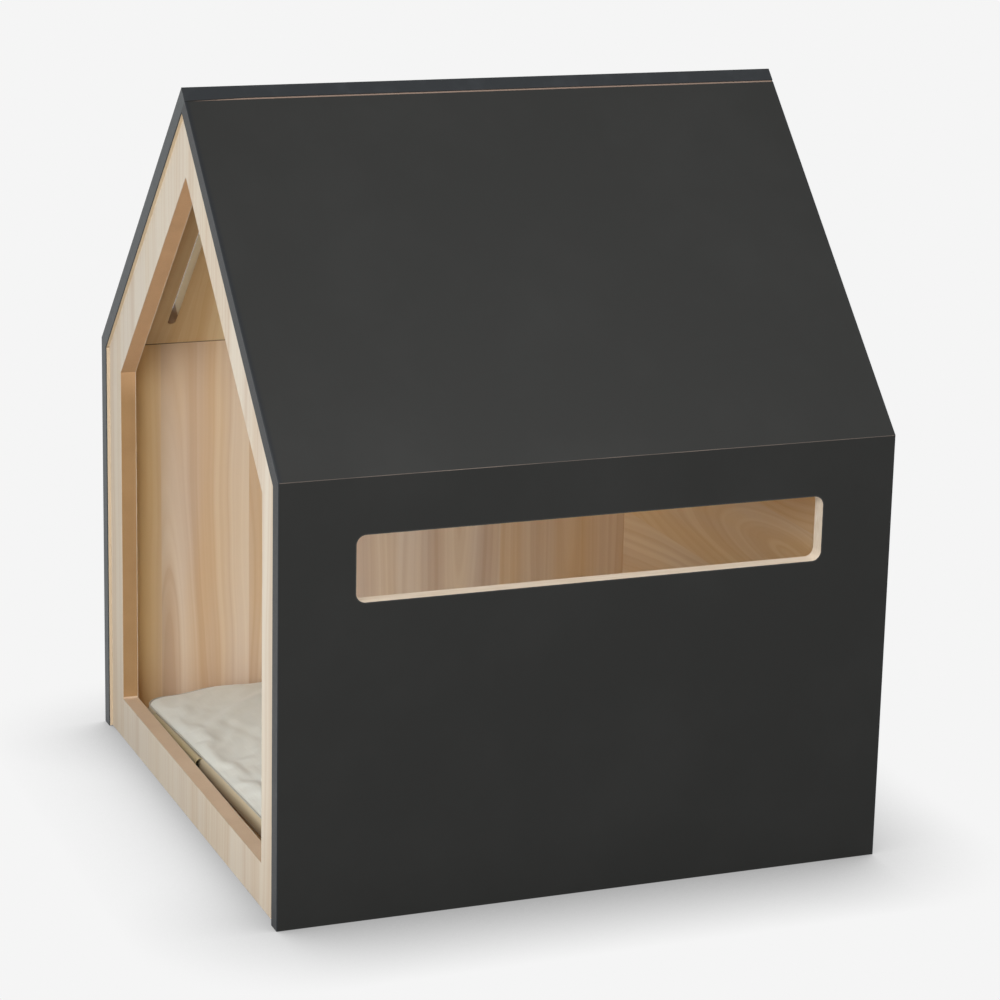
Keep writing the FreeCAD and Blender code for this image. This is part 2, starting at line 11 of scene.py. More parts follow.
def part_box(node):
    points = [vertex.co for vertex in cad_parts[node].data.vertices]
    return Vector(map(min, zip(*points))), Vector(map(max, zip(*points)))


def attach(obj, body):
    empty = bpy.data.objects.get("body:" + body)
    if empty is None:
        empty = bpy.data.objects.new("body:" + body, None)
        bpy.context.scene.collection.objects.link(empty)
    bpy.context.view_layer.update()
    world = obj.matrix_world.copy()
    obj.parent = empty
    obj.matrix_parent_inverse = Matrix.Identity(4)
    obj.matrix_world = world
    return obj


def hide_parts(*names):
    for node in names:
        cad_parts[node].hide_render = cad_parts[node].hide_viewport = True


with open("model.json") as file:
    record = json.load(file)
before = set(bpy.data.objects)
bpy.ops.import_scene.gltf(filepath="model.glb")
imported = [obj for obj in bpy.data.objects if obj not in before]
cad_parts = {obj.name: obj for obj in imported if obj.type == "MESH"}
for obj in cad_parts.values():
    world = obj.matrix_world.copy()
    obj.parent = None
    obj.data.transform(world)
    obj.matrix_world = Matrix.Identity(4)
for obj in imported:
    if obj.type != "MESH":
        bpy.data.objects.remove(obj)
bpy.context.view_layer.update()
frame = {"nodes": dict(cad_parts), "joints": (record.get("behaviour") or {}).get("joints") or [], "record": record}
nodes = frame["nodes"]

# Shell boards: two walls, two roof boards and a back panel, sawn from fibreboard with a matte black
# film pressed on its outside and an ash foil on its inside. Sawn edges show the bare brown core.
SLOPE = math.sqrt(0.5)
FILM_THICKNESS = 0.0005


class Signal:
    """One output in a material's nodes. Sums and comparisons on it add Math nodes there."""

    def __init__(self, tree, socket):
        self.tree = tree
        self.socket = socket

    def node(self, kind, settings, inputs, output=0):
        """Adds a node: its settings first, then its inputs, each a plain value or a signal."""
        made = self.tree.nodes.new(kind)
        for name, value in settings.items():
            if name == "stops":
                ramp = made.color_ramp
                while len(ramp.elements) < len(value):
                    ramp.elements.new(1)
                for element, (position, colour) in zip(ramp.elements, value):
                    element.position = position
                    element.color = colour
            elif name == "interpolation":
                made.color_ramp.interpolation = value
            else:
                setattr(made, name, value)
        for name, value in inputs.items():
            if isinstance(value, Signal):
                self.tree.links.new(value.socket, made.inputs[name])
            else:
                made.inputs[name].default_value = value
        return Signal(self.tree, made.outputs[output])

    def twin(self, name):
        """Another output of the node that this signal comes from."""
        return Signal(self.tree, self.socket.node.outputs[name])

    def maths(self, operation, *others):
        """Adds a Math node on this signal and others."""
        inputs = dict(enumerate((self,) + others))
        return self.node("ShaderNodeMath", {"operation": operation}, inputs)

    __add__ = __radd__ = partialmethod(maths, "ADD")
    __mul__ = __rmul__ = partialmethod(maths, "MULTIPLY")
    __sub__ = partialmethod(maths, "SUBTRACT")
    __truediv__ = partialmethod(maths, "DIVIDE")
    __pow__ = partialmethod(maths, "POWER")
    __lt__ = partialmethod(maths, "LESS_THAN")
    __gt__ = partialmethod(maths, "GREATER_THAN")

    def __rsub__(self, other):
        return self * -1 + other

    def dot(self, direction):
        """How far this vector reaches along a fixed direction."""
        inputs = {0: self, 1: direction}
        return self.node("ShaderNodeVectorMath", {"operation": "DOT_PRODUCT"}, inputs, "Value")

    def joined(self, second, third):
        """A vector of three numbers, this one first."""
        return self.node("ShaderNodeCombineXYZ", {}, {0: self, 1: second, 2: third})

    def noise(self, scale, detail=2.0, roughness=0.5):
        """Cloudy noise at this vector, from 0 to 1 about a half."""
        inputs = {"Vector": self, "Scale": scale, "Detail": detail, "Roughness": roughness}
        return self.node("ShaderNodeTexNoise", {}, inputs)

    def ramp(self, *stops):
        """A soft step through grey stops, each a position and a value."""
        greys = [(at, (value, value, value, 1)) for at, value in stops]
        return self.node("ShaderNodeValToRGB", {"stops": greys}, {"Fac": self})

    def mix(self, start, end):
        """The colour this share of the way from one colour to another."""
        inputs = {0: self, 6: start, 7: end}
        return self.node("ShaderNodeMix", {"data_type": "RGBA"}, inputs, 2)


def new_finish(name, roughness, specular=0.5):
    """A material with its shader, and the place of the shaded point on the object."""
    material = bpy.data.materials.new(name)
    material.use_nodes = True
    tree = material.node_tree
    shader = tree.nodes["Principled BSDF"]
    shader.inputs["Roughness"].default_value = roughness
    shader.inputs["Specular IOR Level"].default_value = specular
    place = Signal(tree, tree.nodes.new("ShaderNodeTexCoord").outputs["Object"])
    return material, shader, place


def feed(shader, name, signal):
    """Links a signal to one of the shader's sockets."""
    signal.tree.links.new(signal.socket, shader.inputs[name])


def raise_surface(shader, height, distance):
    """Gives the shader a bump of this height pattern, this deep in metres."""
    inputs = {"Height": height, "Distance": distance}
    feed(shader, "Normal", height.node("ShaderNodeBump", {}, inputs))


def dress(node, material):
    """Gives a node of the frame its finish."""
    nodes[node].data.materials.clear()
    nodes[node].data.materials.append(material)


STAVE = 0.0953
HEART_RANGE = 4.0
CUT_RANGE = 2.0
SAW_SLANT = 0.075
RING_SPACING = 0.0085
RING_PROFILE = ((0, 0.1), (0.5, 0.2), (0.85, 1), (1, 0.1))
RING_UNEVENNESS = 3.0
RING_WANDER = 0.024
WANDER_SCALE = 3.0
BROAD_GRAIN = 45.0
FINE_GRAIN = 260.0
FIBRE_GRAIN = 1500.0
FIBRE_STRETCH = 0.012
STAVE_OFFSETS = (5.3, 7.3, 3.1)
TONE_SHARE = 0.9
BROAD_SHARE = 1.6
FIBRE_SHARE = 0.28
RING_SHARE = (0.02, 0.2)
FINE_SHARE = (0.16, 0.35)
MIDDLE_TONE = 0.52
STREAK_SCALE = 2.6
STREAK_GOLD = ((0.35, 0), (0.65, 0.35))
FOIL_TONES = ((0.6, 0.455, 0.35, 1), (0.85, 0.745, 0.635, 1), (0.66, 0.4, 0.165, 1), (0.86, 0.67, 0.41, 1))


def ash_grain(place, along, across, staves, first, seed, tones=FOIL_TONES, slant=SAW_SLANT, crisp=0.4):
    """Ash foil printed as staves side by side, the first one's edge at this place across. The list
    says where each stave's heart lies (in staves from its middle), where along it the saw cut the
    heart (in metres), how pale it is and how golden. The tones are dark and pale, first rosy and
    then golden. Gives the colour and the fibres' height."""
    length, width = place.dot(along), place.dot(across)
    number = ((width - first) / STAVE).maths("FLOOR")
    chart = [
        (order / len(staves), (heart / HEART_RANGE + 0.5, cut / CUT_RANGE + 0.5, tone, gold))
        for order, (heart, cut, tone, gold) in enumerate(staves)
    ]
    settings = {"stops": chart, "interpolation": "CONSTANT"}
    chosen = number.node("ShaderNodeValToRGB", settings, {"Fac": (number + 0.5) / len(staves)})
    heart, cut, tone = (chosen.node("ShaderNodeSeparateXYZ", {}, {0: chosen}, part) for part in range(3))
    from_heart = width - first - (number + 0.5 + (heart - 0.5) * HEART_RANGE) * STAVE
    depth = (length - (cut - 0.5) * CUT_RANGE) * slant
    drift = length.joined(width * 4.0, number * STAVE_OFFSETS[0] + seed).noise(WANDER_SCALE, 2.0) - 0.5
    reach = (from_heart * from_heart + depth * depth) ** 0.5 + drift * RING_WANDER
    broad = reach.joined(number * STAVE_OFFSETS[1], seed).noise(BROAD_GRAIN, 2.0, 0.6)
    fine = reach.joined(number * STAVE_OFFSETS[2], seed + 4.0).noise(FINE_GRAIN, 2.0, 0.6)
    ring = (reach / RING_SPACING + broad * RING_UNEVENNESS).maths("FRACT").ramp(*RING_PROFILE)
    fibre = width.joined(length * FIBRE_STRETCH, seed).noise(FIBRE_GRAIN, 3.0, 0.7)
    light = (tone - 0.5) * TONE_SHARE + (broad - 0.5) * BROAD_SHARE
    light = light - ring * (RING_SHARE[0] + RING_SHARE[1] * crisp) + MIDDLE_TONE
    light = light + (fine - 0.5) * (FINE_SHARE[0] + FINE_SHARE[1] * crisp)
    light = (light + (fibre - 0.5) * FIBRE_SHARE * crisp).ramp((0.15, 0), (0.9, 1))
    streak = length.joined(width * 9.0, seed + 9.0).noise(STREAK_SCALE, 2.0).ramp(*STREAK_GOLD)
    rosy, golden = light.mix(tones[0], tones[1]), light.mix(tones[2], tones[3])
    return (chosen.twin("Alpha") + streak).mix(rosy, golden), fibre


def staves_by_chance(seed):
    """Staves for a board that is seen less: any heart, any cut, any tone and tint."""
    chance = random.Random(seed)
    spans = ((-1.2, 1.2), (-0.6, 0.8), (0.35, 0.65), (0.3, 0.8))
    return [tuple(chance.uniform(*span) for span in spans) for _ in range(9)]


CORE_BROWN = (0.6, 0.425, 0.285, 1)
CORE_DARK = (0.52, 0.36, 0.235, 1)
CORE_CLOUDS = 34.0
CORE_FELT = 1100.0


def core_colour(place, dark=CORE_DARK, brown=CORE_BROWN):
    """Fibreboard sawn across: pinkish brown, felted fine and even, a little darker in clouds."""
    cloud = place.noise(CORE_CLOUDS, 3.0)
    felt = place.noise(CORE_FELT, 3.0, 0.7)
    return (cloud * 0.45 + felt * 0.55).ramp((0.32, 0), (0.68, 1)).mix(dark, brown)


FILM_BLACK = (0.0185, 0.0188, 0.0179, 1)
FILM_SMUDGE = (0.0215, 0.0218, 0.0209, 1)
SMUDGE_SCALE = 7.0
DUST = (0.3, 0.3, 0.29, 1)
DUST_SCALE = 26.0
DUST_SIZE = 0.018
DUST_FREE_SHARE = 0.93


def film_colour(place):
    """Matte black film with faint smudges and a few specks of dust."""
    smudge = place.noise(SMUDGE_SCALE, 4.0, 0.6).ramp((0.45, 0), (0.75, 1))
    speckle = {"Vector": place, "Scale": DUST_SCALE}
    cells = place.node("ShaderNodeTexVoronoi", {}, speckle, "Distance")
    chance = cells.twin("Color")
    rare = chance.node("ShaderNodeSeparateXYZ", {}, {0: chance}) > DUST_FREE_SHARE
    speck = (cells < DUST_SIZE) * rare
    return speck.mix(smudge.mix(FILM_BLACK, FILM_SMUDGE), DUST), smudge


# Painted shade: a darker bluish strip of film along the roofs' front edge, where the rounded arris turns away from
# the light.
FILM_PAINTED_SHADE = (0.0125, 0.014, 0.0165, 1)
FRONT_SHADE_WIDTH = 0.0035
# Painted light and shade in the left roof's vent slot: its sawn walls are painted pale for the light that comes in
# through the slot, and its foot is painted dark as shade.
VENT_FROM_FRONT = 0.061
VENT_REACH = 0.006
VENT_PAINTED_LIGHT = (0.86, 0.74, 0.54, 1)
VENT_FOOT = 0.0075
CORE_SHADED = (0.42, 0.28, 0.17, 1)
# Painted shade: the bare core strip beside the ridge band is darkened, as it lies in a shaded groove.
RIDGE_PAINTED_SHADE = (0.2, 0.145, 0.115, 1)
# Painted light: the foil's narrow strip ahead of the frame is painted a paler, plainer tan than the foil inside,
# as it is lit from in front.
LIP_PAINTED_LIGHT = (0.6, 0.5, 0.37, 1)
LIP_LIGHT_SHARE = 0.75
# Painted warm shade: on the left wall a deeper golden band just behind the frame, for the shade the frame casts
# there and the warm light bounced off its edges.
FOIL_PAINTED_WARM_SHADE = (0.95, 0.68, 0.34, 1)
WARM_SHADE_SPAN = (0.012, 0.014, 0.04, 0.056)
WARM_SHADE_SHARE = 0.9
MITRE_LINE = 0.0009
MITRE_DARK = (0.2, 0.13, 0.075, 1)
ARRIS_LINE = 0.0006
ARRIS_BARE = (0.16, 0.13, 0.112, 1)
ARRIS_SCALE = 9.0
ARRIS_SHARE = ((0.35, 0.3), (0.65, 1))
FILM_SPECULAR = 0.1
FILM_ROUGHNESS = 0.5
SMUDGE_SHEEN = 0.06
CORE_ROUGHNESS = 0.52
ASH_ROUGHNESS = 0.55
FILM_GRAIN = 2600.0
FILM_RELIEF = 0.25
FIBRE_RELIEF = 0.4
BOARD_RELIEF = 0.00012


def faced_board(name, outward, along, staves, first, seed, slant=SAW_SLANT):
    """A board's finish by depth: black film outside, bare core at its edges, ash foil inside. The
    film is chipped along the walls' top arris. Painted shade darkens the roofs' film along their
    front edge, the foot of the left roof's vent slot and the core strip at its ridge; painted light
    makes the slot's walls pale. The foil's strip ahead of the frame has painted light, and the left
    wall's foil has painted warm shade just behind the frame."""
    material, shader, place = new_finish(name, FILM_ROUGHNESS, FILM_SPECULAR)
    out, up = Vector(outward), Vector(along)
    corners = [vert.co for vert in nodes[name].data.vertices]
    outside = max(corner.dot(out) for corner in corners)
    inside = min(corner.dot(out) for corner in corners)
    front = min(corner.y for corner in corners)
    level, from_front = place.dot(outward), place.dot((0, 1, 0)) - front
    ash, fibre = ash_grain(place, along, tuple(out.cross(up)), staves, first, seed, slant=slant)
    black, smudge = film_colour(place)
    core = core_colour(place)
    is_film = level > outside - FILM_THICKNESS
    is_ash = level < inside + FILM_THICKNESS
    if name.endswith("roof"):
        # Painted shade along the roof's front edge.
        wear_and_painted_shade = from_front.ramp((FRONT_SHADE_WIDTH * 0.8, 1), (FRONT_SHADE_WIDTH, 0))
        black = wear_and_painted_shade.mix(black, FILM_PAINTED_SHADE)
    if name.endswith("wall"):
        eaves = max(corner.z for corner in corners)
        chipped = from_front.joined(0.0, 0.0).noise(ARRIS_SCALE, 3.0).ramp(*ARRIS_SHARE)
        is_arris = place.dot((0, 0, 1)) > eaves - ARRIS_LINE
        black = (is_arris * chipped).mix(black, ARRIS_BARE)
    if name == "left_roof":
        run = place.dot(along)
        ridge = max(corner.dot(up) for corner in corners) - FILM_THICKNESS
        openings = {opening["name"]: opening["box_m"] for opening in frame["record"]["physics"]["openings"]}
        foot = Vector(openings["roof_vent"][0]).dot(up) + VENT_FOOT
        # Painted light on the slot's walls, painted shade at its foot.
        vent = (run > foot).mix(CORE_SHADED, VENT_PAINTED_LIGHT)
        core = ((from_front - VENT_FROM_FRONT).maths("ABSOLUTE") < VENT_REACH).mix(core, vent)
        # Painted shade on the core strip at the ridge.
        core = (run > ridge).mix(core, RIDGE_PAINTED_SHADE)
    if name != "back_panel":
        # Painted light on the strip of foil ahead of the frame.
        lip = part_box("front_frame")[0].y - front
        ash = ((from_front < lip) * LIP_LIGHT_SHARE).mix(ash, LIP_PAINTED_LIGHT)
    if name == "left_wall":
        # Painted warm shade just behind the frame.
        warm_shade = from_front.ramp(*zip(WARM_SHADE_SPAN, (0, WARM_SHADE_SHARE, WARM_SHADE_SHARE, 0)))
        ash = warm_shade.mix(ash, FOIL_PAINTED_WARM_SHADE)
        top = max(corner.z for corner in corners if corner.dot(out) < inside + FILM_THICKNESS)
        ash = (place.dot((0, 0, 1)) > top - MITRE_LINE).mix(ash, MITRE_DARK)
    feed(shader, "Base Color", is_film.mix(is_ash.mix(core, ash), black))
    film_sheen = is_film * (smudge * -SMUDGE_SHEEN - (CORE_ROUGHNESS - FILM_ROUGHNESS))
    feed(shader, "Roughness", film_sheen + CORE_ROUGHNESS + is_ash * (ASH_ROUGHNESS - CORE_ROUGHNESS))
    film_grain = place.noise(FILM_GRAIN, 2.0) * is_film * FILM_RELIEF
    raise_surface(shader, fibre * is_ash * FIBRE_RELIEF + film_grain, BOARD_RELIEF)
    dress(name, material)


LEFT_WALL_JOINT = 0.0439
BACK_JOINT = 0.19
BACK_SLANT = 0.19
FIRST_EDGE = -0.32
LEFT_WALL_STAVES = (
    (-1.6, 0.3, 0.5, 0.5), (-0.42, 0.02, 0.48, 0.2), (-0.6, 0.1, 0.46, 0.3), (1.4, 0.5, 0.44, 0.0),
    (-0.01, 0.21, 0.44, 0.0), (0.35, 0.3, 0.42, 0.35), (0.8, 0.2, 0.42, 0.4),
)
# The left roof's staves are deep golden: painted warm shade, as its foil faces down into the house and gets only
# light bounced off the wood inside.
LEFT_ROOF_STAVES = (
    (-0.5, 0.55, 0.6, 1.0), (0.2, 0.62, 0.7, 1.0), (-0.8, 0.2, 0.6, 0.9), (0.4, 0.6, 0.5, 0.8),
    (0.0, 0.1, 0.55, 0.7), (-0.6, 0.5, 0.5, 0.8), (0.7, 0.3, 0.45, 0.8),
)
BACK_STAVES = (
    (0.6, 0.2, 0.55, 0.5), (-1.6, -0.3, 0.58, 0.35), (0.145, -0.115, 0.46, 0.5), (1.5, 0.3, 0.28, 0.65),
    (-0.5, -0.1, 0.5, 0.6), (0.9, -0.4, 0.5, 0.6), (0.1, 0.1, 0.5, 0.5), (-0.4, -0.3, 0.6, 0.4),
)
UP_LEFT_ROOF = (SLOPE, 0, SLOPE)
UP_RIGHT_ROOF = (-SLOPE, 0, SLOPE)
faced_board("left_wall", (-1, 0, 0), (0, 0, 1), LEFT_WALL_STAVES, LEFT_WALL_JOINT - 4 * STAVE, 3.0)
faced_board("right_wall", (1, 0, 0), (0, 0, 1), staves_by_chance(11), FIRST_EDGE, 11.0)
faced_board("left_roof", UP_RIGHT_ROOF, UP_LEFT_ROOF, LEFT_ROOF_STAVES, FIRST_EDGE, 5.0)
faced_board("right_roof", UP_LEFT_ROOF, UP_RIGHT_ROOF, staves_by_chance(17), FIRST_EDGE, 17.0)
faced_board("back_panel", (0, 1, 0), (-1, 0, 0), BACK_STAVES, BACK_JOINT - 2 * STAVE, 23.0, BACK_SLANT)

# Edge bands: black plastic strips, 1 mm thick, glued on the boards' front and back edges. The ridge
# has the same strip, a little narrower than its board. The two front strips on the left are painted
# lighter: painted light, for the brighter light they catch.
BAND_BLACK = (0.0105, 0.0125, 0.0145, 1)
BAND_WORN = (0.026, 0.03, 0.034, 1)
BAND_PAINTED_LIGHT = (0.038, 0.045, 0.048, 1)
BAND_WORN_PAINTED_LIGHT = (0.056, 0.064, 0.067, 1)
BAND_WEAR_SCALE = 45.0
BAND_SHEEN_SCALE = 160.0
BAND_GRAIN = 1900.0
BAND_RELIEF = 0.00006


def band_finish(name, black, worn):
    """Black band with a fine grained sheen and faint wear."""
    material, shader, place = new_finish(name, 0.42, 0.24)
    wear = place.noise(BAND_WEAR_SCALE, 4.0, 0.6).ramp((0.5, 0), (0.85, 1))
    feed(shader, "Base Color", (wear * 0.5).mix(black, worn))
    feed(shader, "Roughness", place.noise(BAND_SHEEN_SCALE, 2.0) * 0.1 + 0.36)
    raise_surface(shader, place.noise(BAND_GRAIN, 2.0), BAND_RELIEF)
    return material


black_band = band_finish("black_edge_band", BAND_BLACK, BAND_WORN)
painted_light_band = band_finish("painted_light_edge_band", BAND_PAINTED_LIGHT, BAND_WORN_PAINTED_LIGHT)
for side in ("left", "right"):
    for part in ("wall", "roof"):
        for end in ("front", "back"):
            # The two front strips on the left get the lighter copy: painted light.
            is_painted_light = side == "left" and end == "front"
            dress(f"{side}_{part}_{end}_band", painted_light_band if is_painted_light else black_band)
dress("ridge_band", black_band)

# Front frame: a ring of one ash-faced board, set back between the shell's front edges. Its
# opening is sawn out of the board, so the bare core shows all the way round inside it.
FRAME_STAVES = (
    (0.9, 0.3, 0.75, 0.4), (1.3, 0.6, 0.95, 0.2), (-1.2, 0.2, 0.95, 0.4), (1.1, 0.5, 0.88, 0.3),
    (-1.4, 0.4, 0.75, 0.5), (1.2, 0.1, 0.8, 0.3), (-0.9, 0.5, 0.78, 0.3),
)
FRAME_TONES = ((0.58, 0.455, 0.345, 1), (0.74, 0.67, 0.575, 1), (0.6, 0.43, 0.27, 1), (0.75, 0.66, 0.52, 1))
FRAME_CRISPNESS = 0.9
# Painted shade: the frame's foil darkens a little towards its foot, where less light falls.
FRAME_PAINTED_SHADE = (0.46, 0.35, 0.235, 1)
LOW_SHADE_HEIGHT = (0.043, 0.12)
LOW_SHADE_SHARE = 0.25
RAIL_TOP = 0.045
# Painted light and shade on the opening's bare core: paler on the bottom rail's top, which faces up to the light,
# darker and golden under the roof, darkest on the stiles, which face across the opening into shade.
RAIL_DARK = (0.64, 0.48, 0.34, 1)
RAIL_BROWN = (0.74, 0.575, 0.42, 1)
REVEAL_DARK = (0.57, 0.34, 0.182, 1)
REVEAL_BROWN = (0.7, 0.433, 0.234, 1)
STILE_SHADE_DARK = (0.385, 0.225, 0.1, 1)
STILE_SHADE_BROWN = (0.465, 0.285, 0.135, 1)
REVEAL_HEIGHT = (0.36, 0.41)
SAWN_GRAIN = 1400.0
FRAME_RELIEF = 0.0001

frame_low, frame_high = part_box("front_frame")


def frame_finish():
    """Ash foil on the frame's two faces, with painted shade a little darker low down, and bare core
    on its edges, tinted by how light falls: painted light on the bottom rail, painted shade under
    the roof and the deepest painted shade on the stiles."""
    material, shader, place = new_finish("ash_board", 0.5, 0.25)
    depth, height = place.dot((0, 1, 0)), place.dot((0, 0, 1))
    ash, fibre = ash_grain(
        place, (0, 0, 1), (1, 0, 0), FRAME_STAVES, -3.5 * STAVE, 31.0, FRAME_TONES, crisp=FRAME_CRISPNESS
    )
    # Painted shade low down on the frame.
    ash = height.ramp((LOW_SHADE_HEIGHT[0], LOW_SHADE_SHARE), (LOW_SHADE_HEIGHT[1], 0)).mix(ash, FRAME_PAINTED_SHADE)
    # Painted light on the rail, painted shade under the roof and on the stiles.
    under_roof = height.ramp((REVEAL_HEIGHT[0], 0), (REVEAL_HEIGHT[1], 1))
    stiles = core_colour(place, STILE_SHADE_DARK, STILE_SHADE_BROWN)
    reveal = under_roof.mix(stiles, core_colour(place, REVEAL_DARK, REVEAL_BROWN))
    core = (height > RAIL_TOP).mix(core_colour(place, RAIL_DARK, RAIL_BROWN), reveal)
    is_front = depth < frame_low.y + FILM_THICKNESS
    is_face = is_front + (depth > frame_high.y - FILM_THICKNESS)
    feed(shader, "Base Color", is_face.mix(core, ash))
    feed(shader, "Roughness", fibre * 0.08 + 0.46)
    raise_surface(shader, fibre * is_face * FIBRE_RELIEF + place.noise(SAWN_GRAIN) * 0.3, FRAME_RELIEF)
    return material


dress("front_frame", frame_finish())

# Floor board: one board of the same ash-faced fibreboard, under the cushion. It is dowelled between
# the walls, the frame and the back panel, with its underside level with their lower edges.
FLOOR_RELIEF = 0.0001

floor_low, floor_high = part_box("floor_board")


def floor_finish():
    """Ash foil above and below, bare core at the edges."""
    material, shader, place = new_finish("ash_floor", 0.5, 0.25)
    height = place.dot((0, 0, 1))
    ash, fibre = ash_grain(place, (1, 0, 0), (0, 1, 0), staves_by_chance(41), FIRST_EDGE, 41.0)
    is_underside = height < floor_low.z + FILM_THICKNESS
    is_face = is_underside + (height > floor_high.z - FILM_THICKNESS)
    feed(shader, "Base Color", is_face.mix(core_colour(place), ash))
    raise_surface(shader, fibre * is_face * FIBRE_RELIEF, FLOOR_RELIEF)
    return material


dress("floor_board", floor_finish())

# Window lining: a strip of pale ash veneer glued round the sawn window slot, its outer rim trimmed
# flush with the wall and blackened to go with the film.
LINING_PALE = (0.66, 0.585, 0.49, 1)
LINING_TAN = (0.56, 0.465, 0.355, 1)
LINING_RIM = 0.0002
VENEER_GRAIN = 22.0
VENEER_RELIEF = 0.00005

outer_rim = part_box("window_lining")[1].x


def lining_finish():
    """Pale veneer with its grain running along the slot."""
    material, shader, place = new_finish("pale_edge_band", 0.5, 0.4)
    stretched = place.dot((0, 1, 0)).joined(place.dot((1, 0, 0)) * 14.0, place.dot((0, 0, 1)) * 5.0)
    streak = stretched.noise(VENEER_GRAIN, 4.0, 0.6).ramp((0.3, 0), (0.7, 1))
    veneer = streak.mix(LINING_TAN, LINING_PALE)
    is_rim = place.dot((1, 0, 0)) > outer_rim - LINING_RIM
    feed(shader, "Base Color", is_rim.mix(veneer, FILM_BLACK))
    raise_surface(shader, streak, VENEER_RELIEF)
    return material


dress("window_lining", lining_finish())

# Joinery: biscuits pressed from beech, glued in the eaves mitres, and dowels turned from beech,
# glued between the walls, the frame, the floor board and the back panel. The boards hide them all.
BEECH_LIGHT = (0.62, 0.44, 0.29, 1)
BEECH_DARK = (0.5, 0.33, 0.2, 1)
FLECK_SCALE = 420.0
FLECK_RELIEF = 0.0001


def beech_finish():
    """Beech with its short dark flecks."""
    material, shader, place = new_finish("beech", 0.6, 0.3)
    fleck = place.noise(FLECK_SCALE, 3.0, 0.7).ramp((0.4, 0), (0.7, 1))
    feed(shader, "Base Color", fleck.mix(BEECH_LIGHT, BEECH_DARK))
    raise_surface(shader, fleck, FLECK_RELIEF)
    return material


beech = beech_finish()
for node in ("left_eaves_biscuits", "right_eaves_biscuits", "frame_dowels", "floor_dowels", "back_dowels"):
    dress(node, beech)

# Ridge fixing: four countersunk steel screws through the left roof into the right roof's end,
# each under a black plastic cap pressed into its socket.
STEEL = (0.6, 0.6, 0.585, 1)
STEEL_DULL = (0.42, 0.42, 0.41, 1)
CAP_BLACK = (0.018, 0.018, 0.018, 1)
CAP_WORN = (0.032, 0.032, 0.032, 1)
CAP_GRAIN = 3000.0
CAP_RELIEF = 0.00004


def screw_finish():
    """Zinc-plated steel, a little dull in places."""
    material, shader, place = new_finish("screw_steel", 0.35, 0.5)
    shader.inputs["Metallic"].default_value = 1.0
    dull = place.noise(500.0, 3.0)
    feed(shader, "Base Color", dull.mix(STEEL, STEEL_DULL))
    feed(shader, "Roughness", dull * 0.25 + 0.25)
    return material


def cap_finish():
    """Moulded plastic with a fine grain."""
    material, shader, place = new_finish("black_cap", 0.5, 0.4)
    feed(shader, "Base Color", place.noise(300.0, 2.0).mix(CAP_BLACK, CAP_WORN))
    raise_surface(shader, place.noise(CAP_GRAIN, 2.0), CAP_RELIEF)
    return material


dress("ridge_screws", screw_finish())
dress("ridge_screw_caps", cap_finish())

# Cushion cover: top and bottom panels of washed cotton canvas, a boxed side between them and a
# narrow welt in both seams. The cover is a little slack on its foam, so the top lies in wrinkles.
COVER_TURN = math.radians(1.9)
COVER_SLACK = (0.045, 0.026)
COVER_SHIFT = 0.0045
COVER_CORNER = 0.031
COVER_DRAWN_IN = 0.002
COVER_SIDE = 0.024
COVER_BULGE = 0.0025
COVER_SEAM_INSET = 0.001
COVER_TUCK = 0.005
COVER_TUCK_HEIGHT = 0.008
COVER_ROLL = 0.0024
COVER_ROLL_REACH = 0.026
COVER_CROWN = 0.008
COVER_CROWN_REACH = 0.15
COVER_WAVE = 0.0024
COVER_WAVE_SCALE = 8.5
COVER_COLUMNS = 90
COVER_SIDE_ROWS = 5
COVER_THICKNESS = 0.0012

cover_low, cover_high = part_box("cushion_cover")
cushion_low = cover_low.z
cushion_x = (cover_low.x + cover_high.x) / 2 + COVER_SHIFT
cushion_y = (cover_low.y + cover_high.y) / 2
cushion_place = Matrix.Translation((cushion_x, cushion_y, cushion_low)) @ Matrix.Rotation(COVER_TURN, 4, "Z")
cabin_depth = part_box("back_panel")[0].y - frame_high.y
cover_half = Vector((floor_high.x - COVER_SLACK[0] / 2, (cabin_depth - COVER_SLACK[1]) / 2))


def rounded(a, b, half):
    """Carries a point of the square from -1 to 1 to a rounded rectangle of this half size, whose
    four sides draw in a little between their corners."""
    place = []
    over = []
    for share, reach in ((a, half[0]), (b, half[1])):
        flat = reach - COVER_CORNER
        away = abs(share) * reach
        place.append(math.copysign(min(away, flat), share))
        over.append(max(0, away - flat) / COVER_CORNER)
    u, v = over
    bent = (u * math.sqrt(1 - v * v / 2), v * math.sqrt(1 - u * u / 2))
    x = place[0] + math.copysign(bent[0] * COVER_CORNER, a)
    y = place[1] + math.copysign(bent[1] * COVER_CORNER, b)
    x -= math.copysign(COVER_DRAWN_IN, a) * abs(a) ** 6 * (1 - min(1, abs(b) * 1.1) ** 2)
    y -= math.copysign(COVER_DRAWN_IN, b) * abs(b) ** 6 * (1 - min(1, abs(a) * 1.1) ** 2)
    return x, y


def rise(a, b, reach):
    """How far the top has risen, from 0 in the seam to 1 at this reach from it and beyond: at once
    from the left and right seams, gently from the front and back ones."""
    beside, ahead = (
        min(1, (1 - abs(side)) * half / reach) for side, half in ((a, cover_half.x), (b, cover_half.y))
    )
    return math.sqrt(1 - (1 - beside) ** 2) * ahead * ahead * (3 - 2 * ahead)


def kept_mesh(name, bm):
    """The finished bmesh as a mesh."""
    mesh = bpy.data.meshes.new(name)
    bm.to_mesh(mesh)
    bm.free()
    return mesh


def applied(piece):
    """The piece's mesh with its modifiers applied, or a curve's with its thickness."""
    return bpy.data.meshes.new_from_object(piece.evaluated_get(bpy.context.evaluated_depsgraph_get()))


def placed(name, data):
    """A new object in the scene, at its origin."""
    piece = bpy.data.objects.new(name, data)
    bpy.context.scene.collection.objects.link(piece)
    return piece


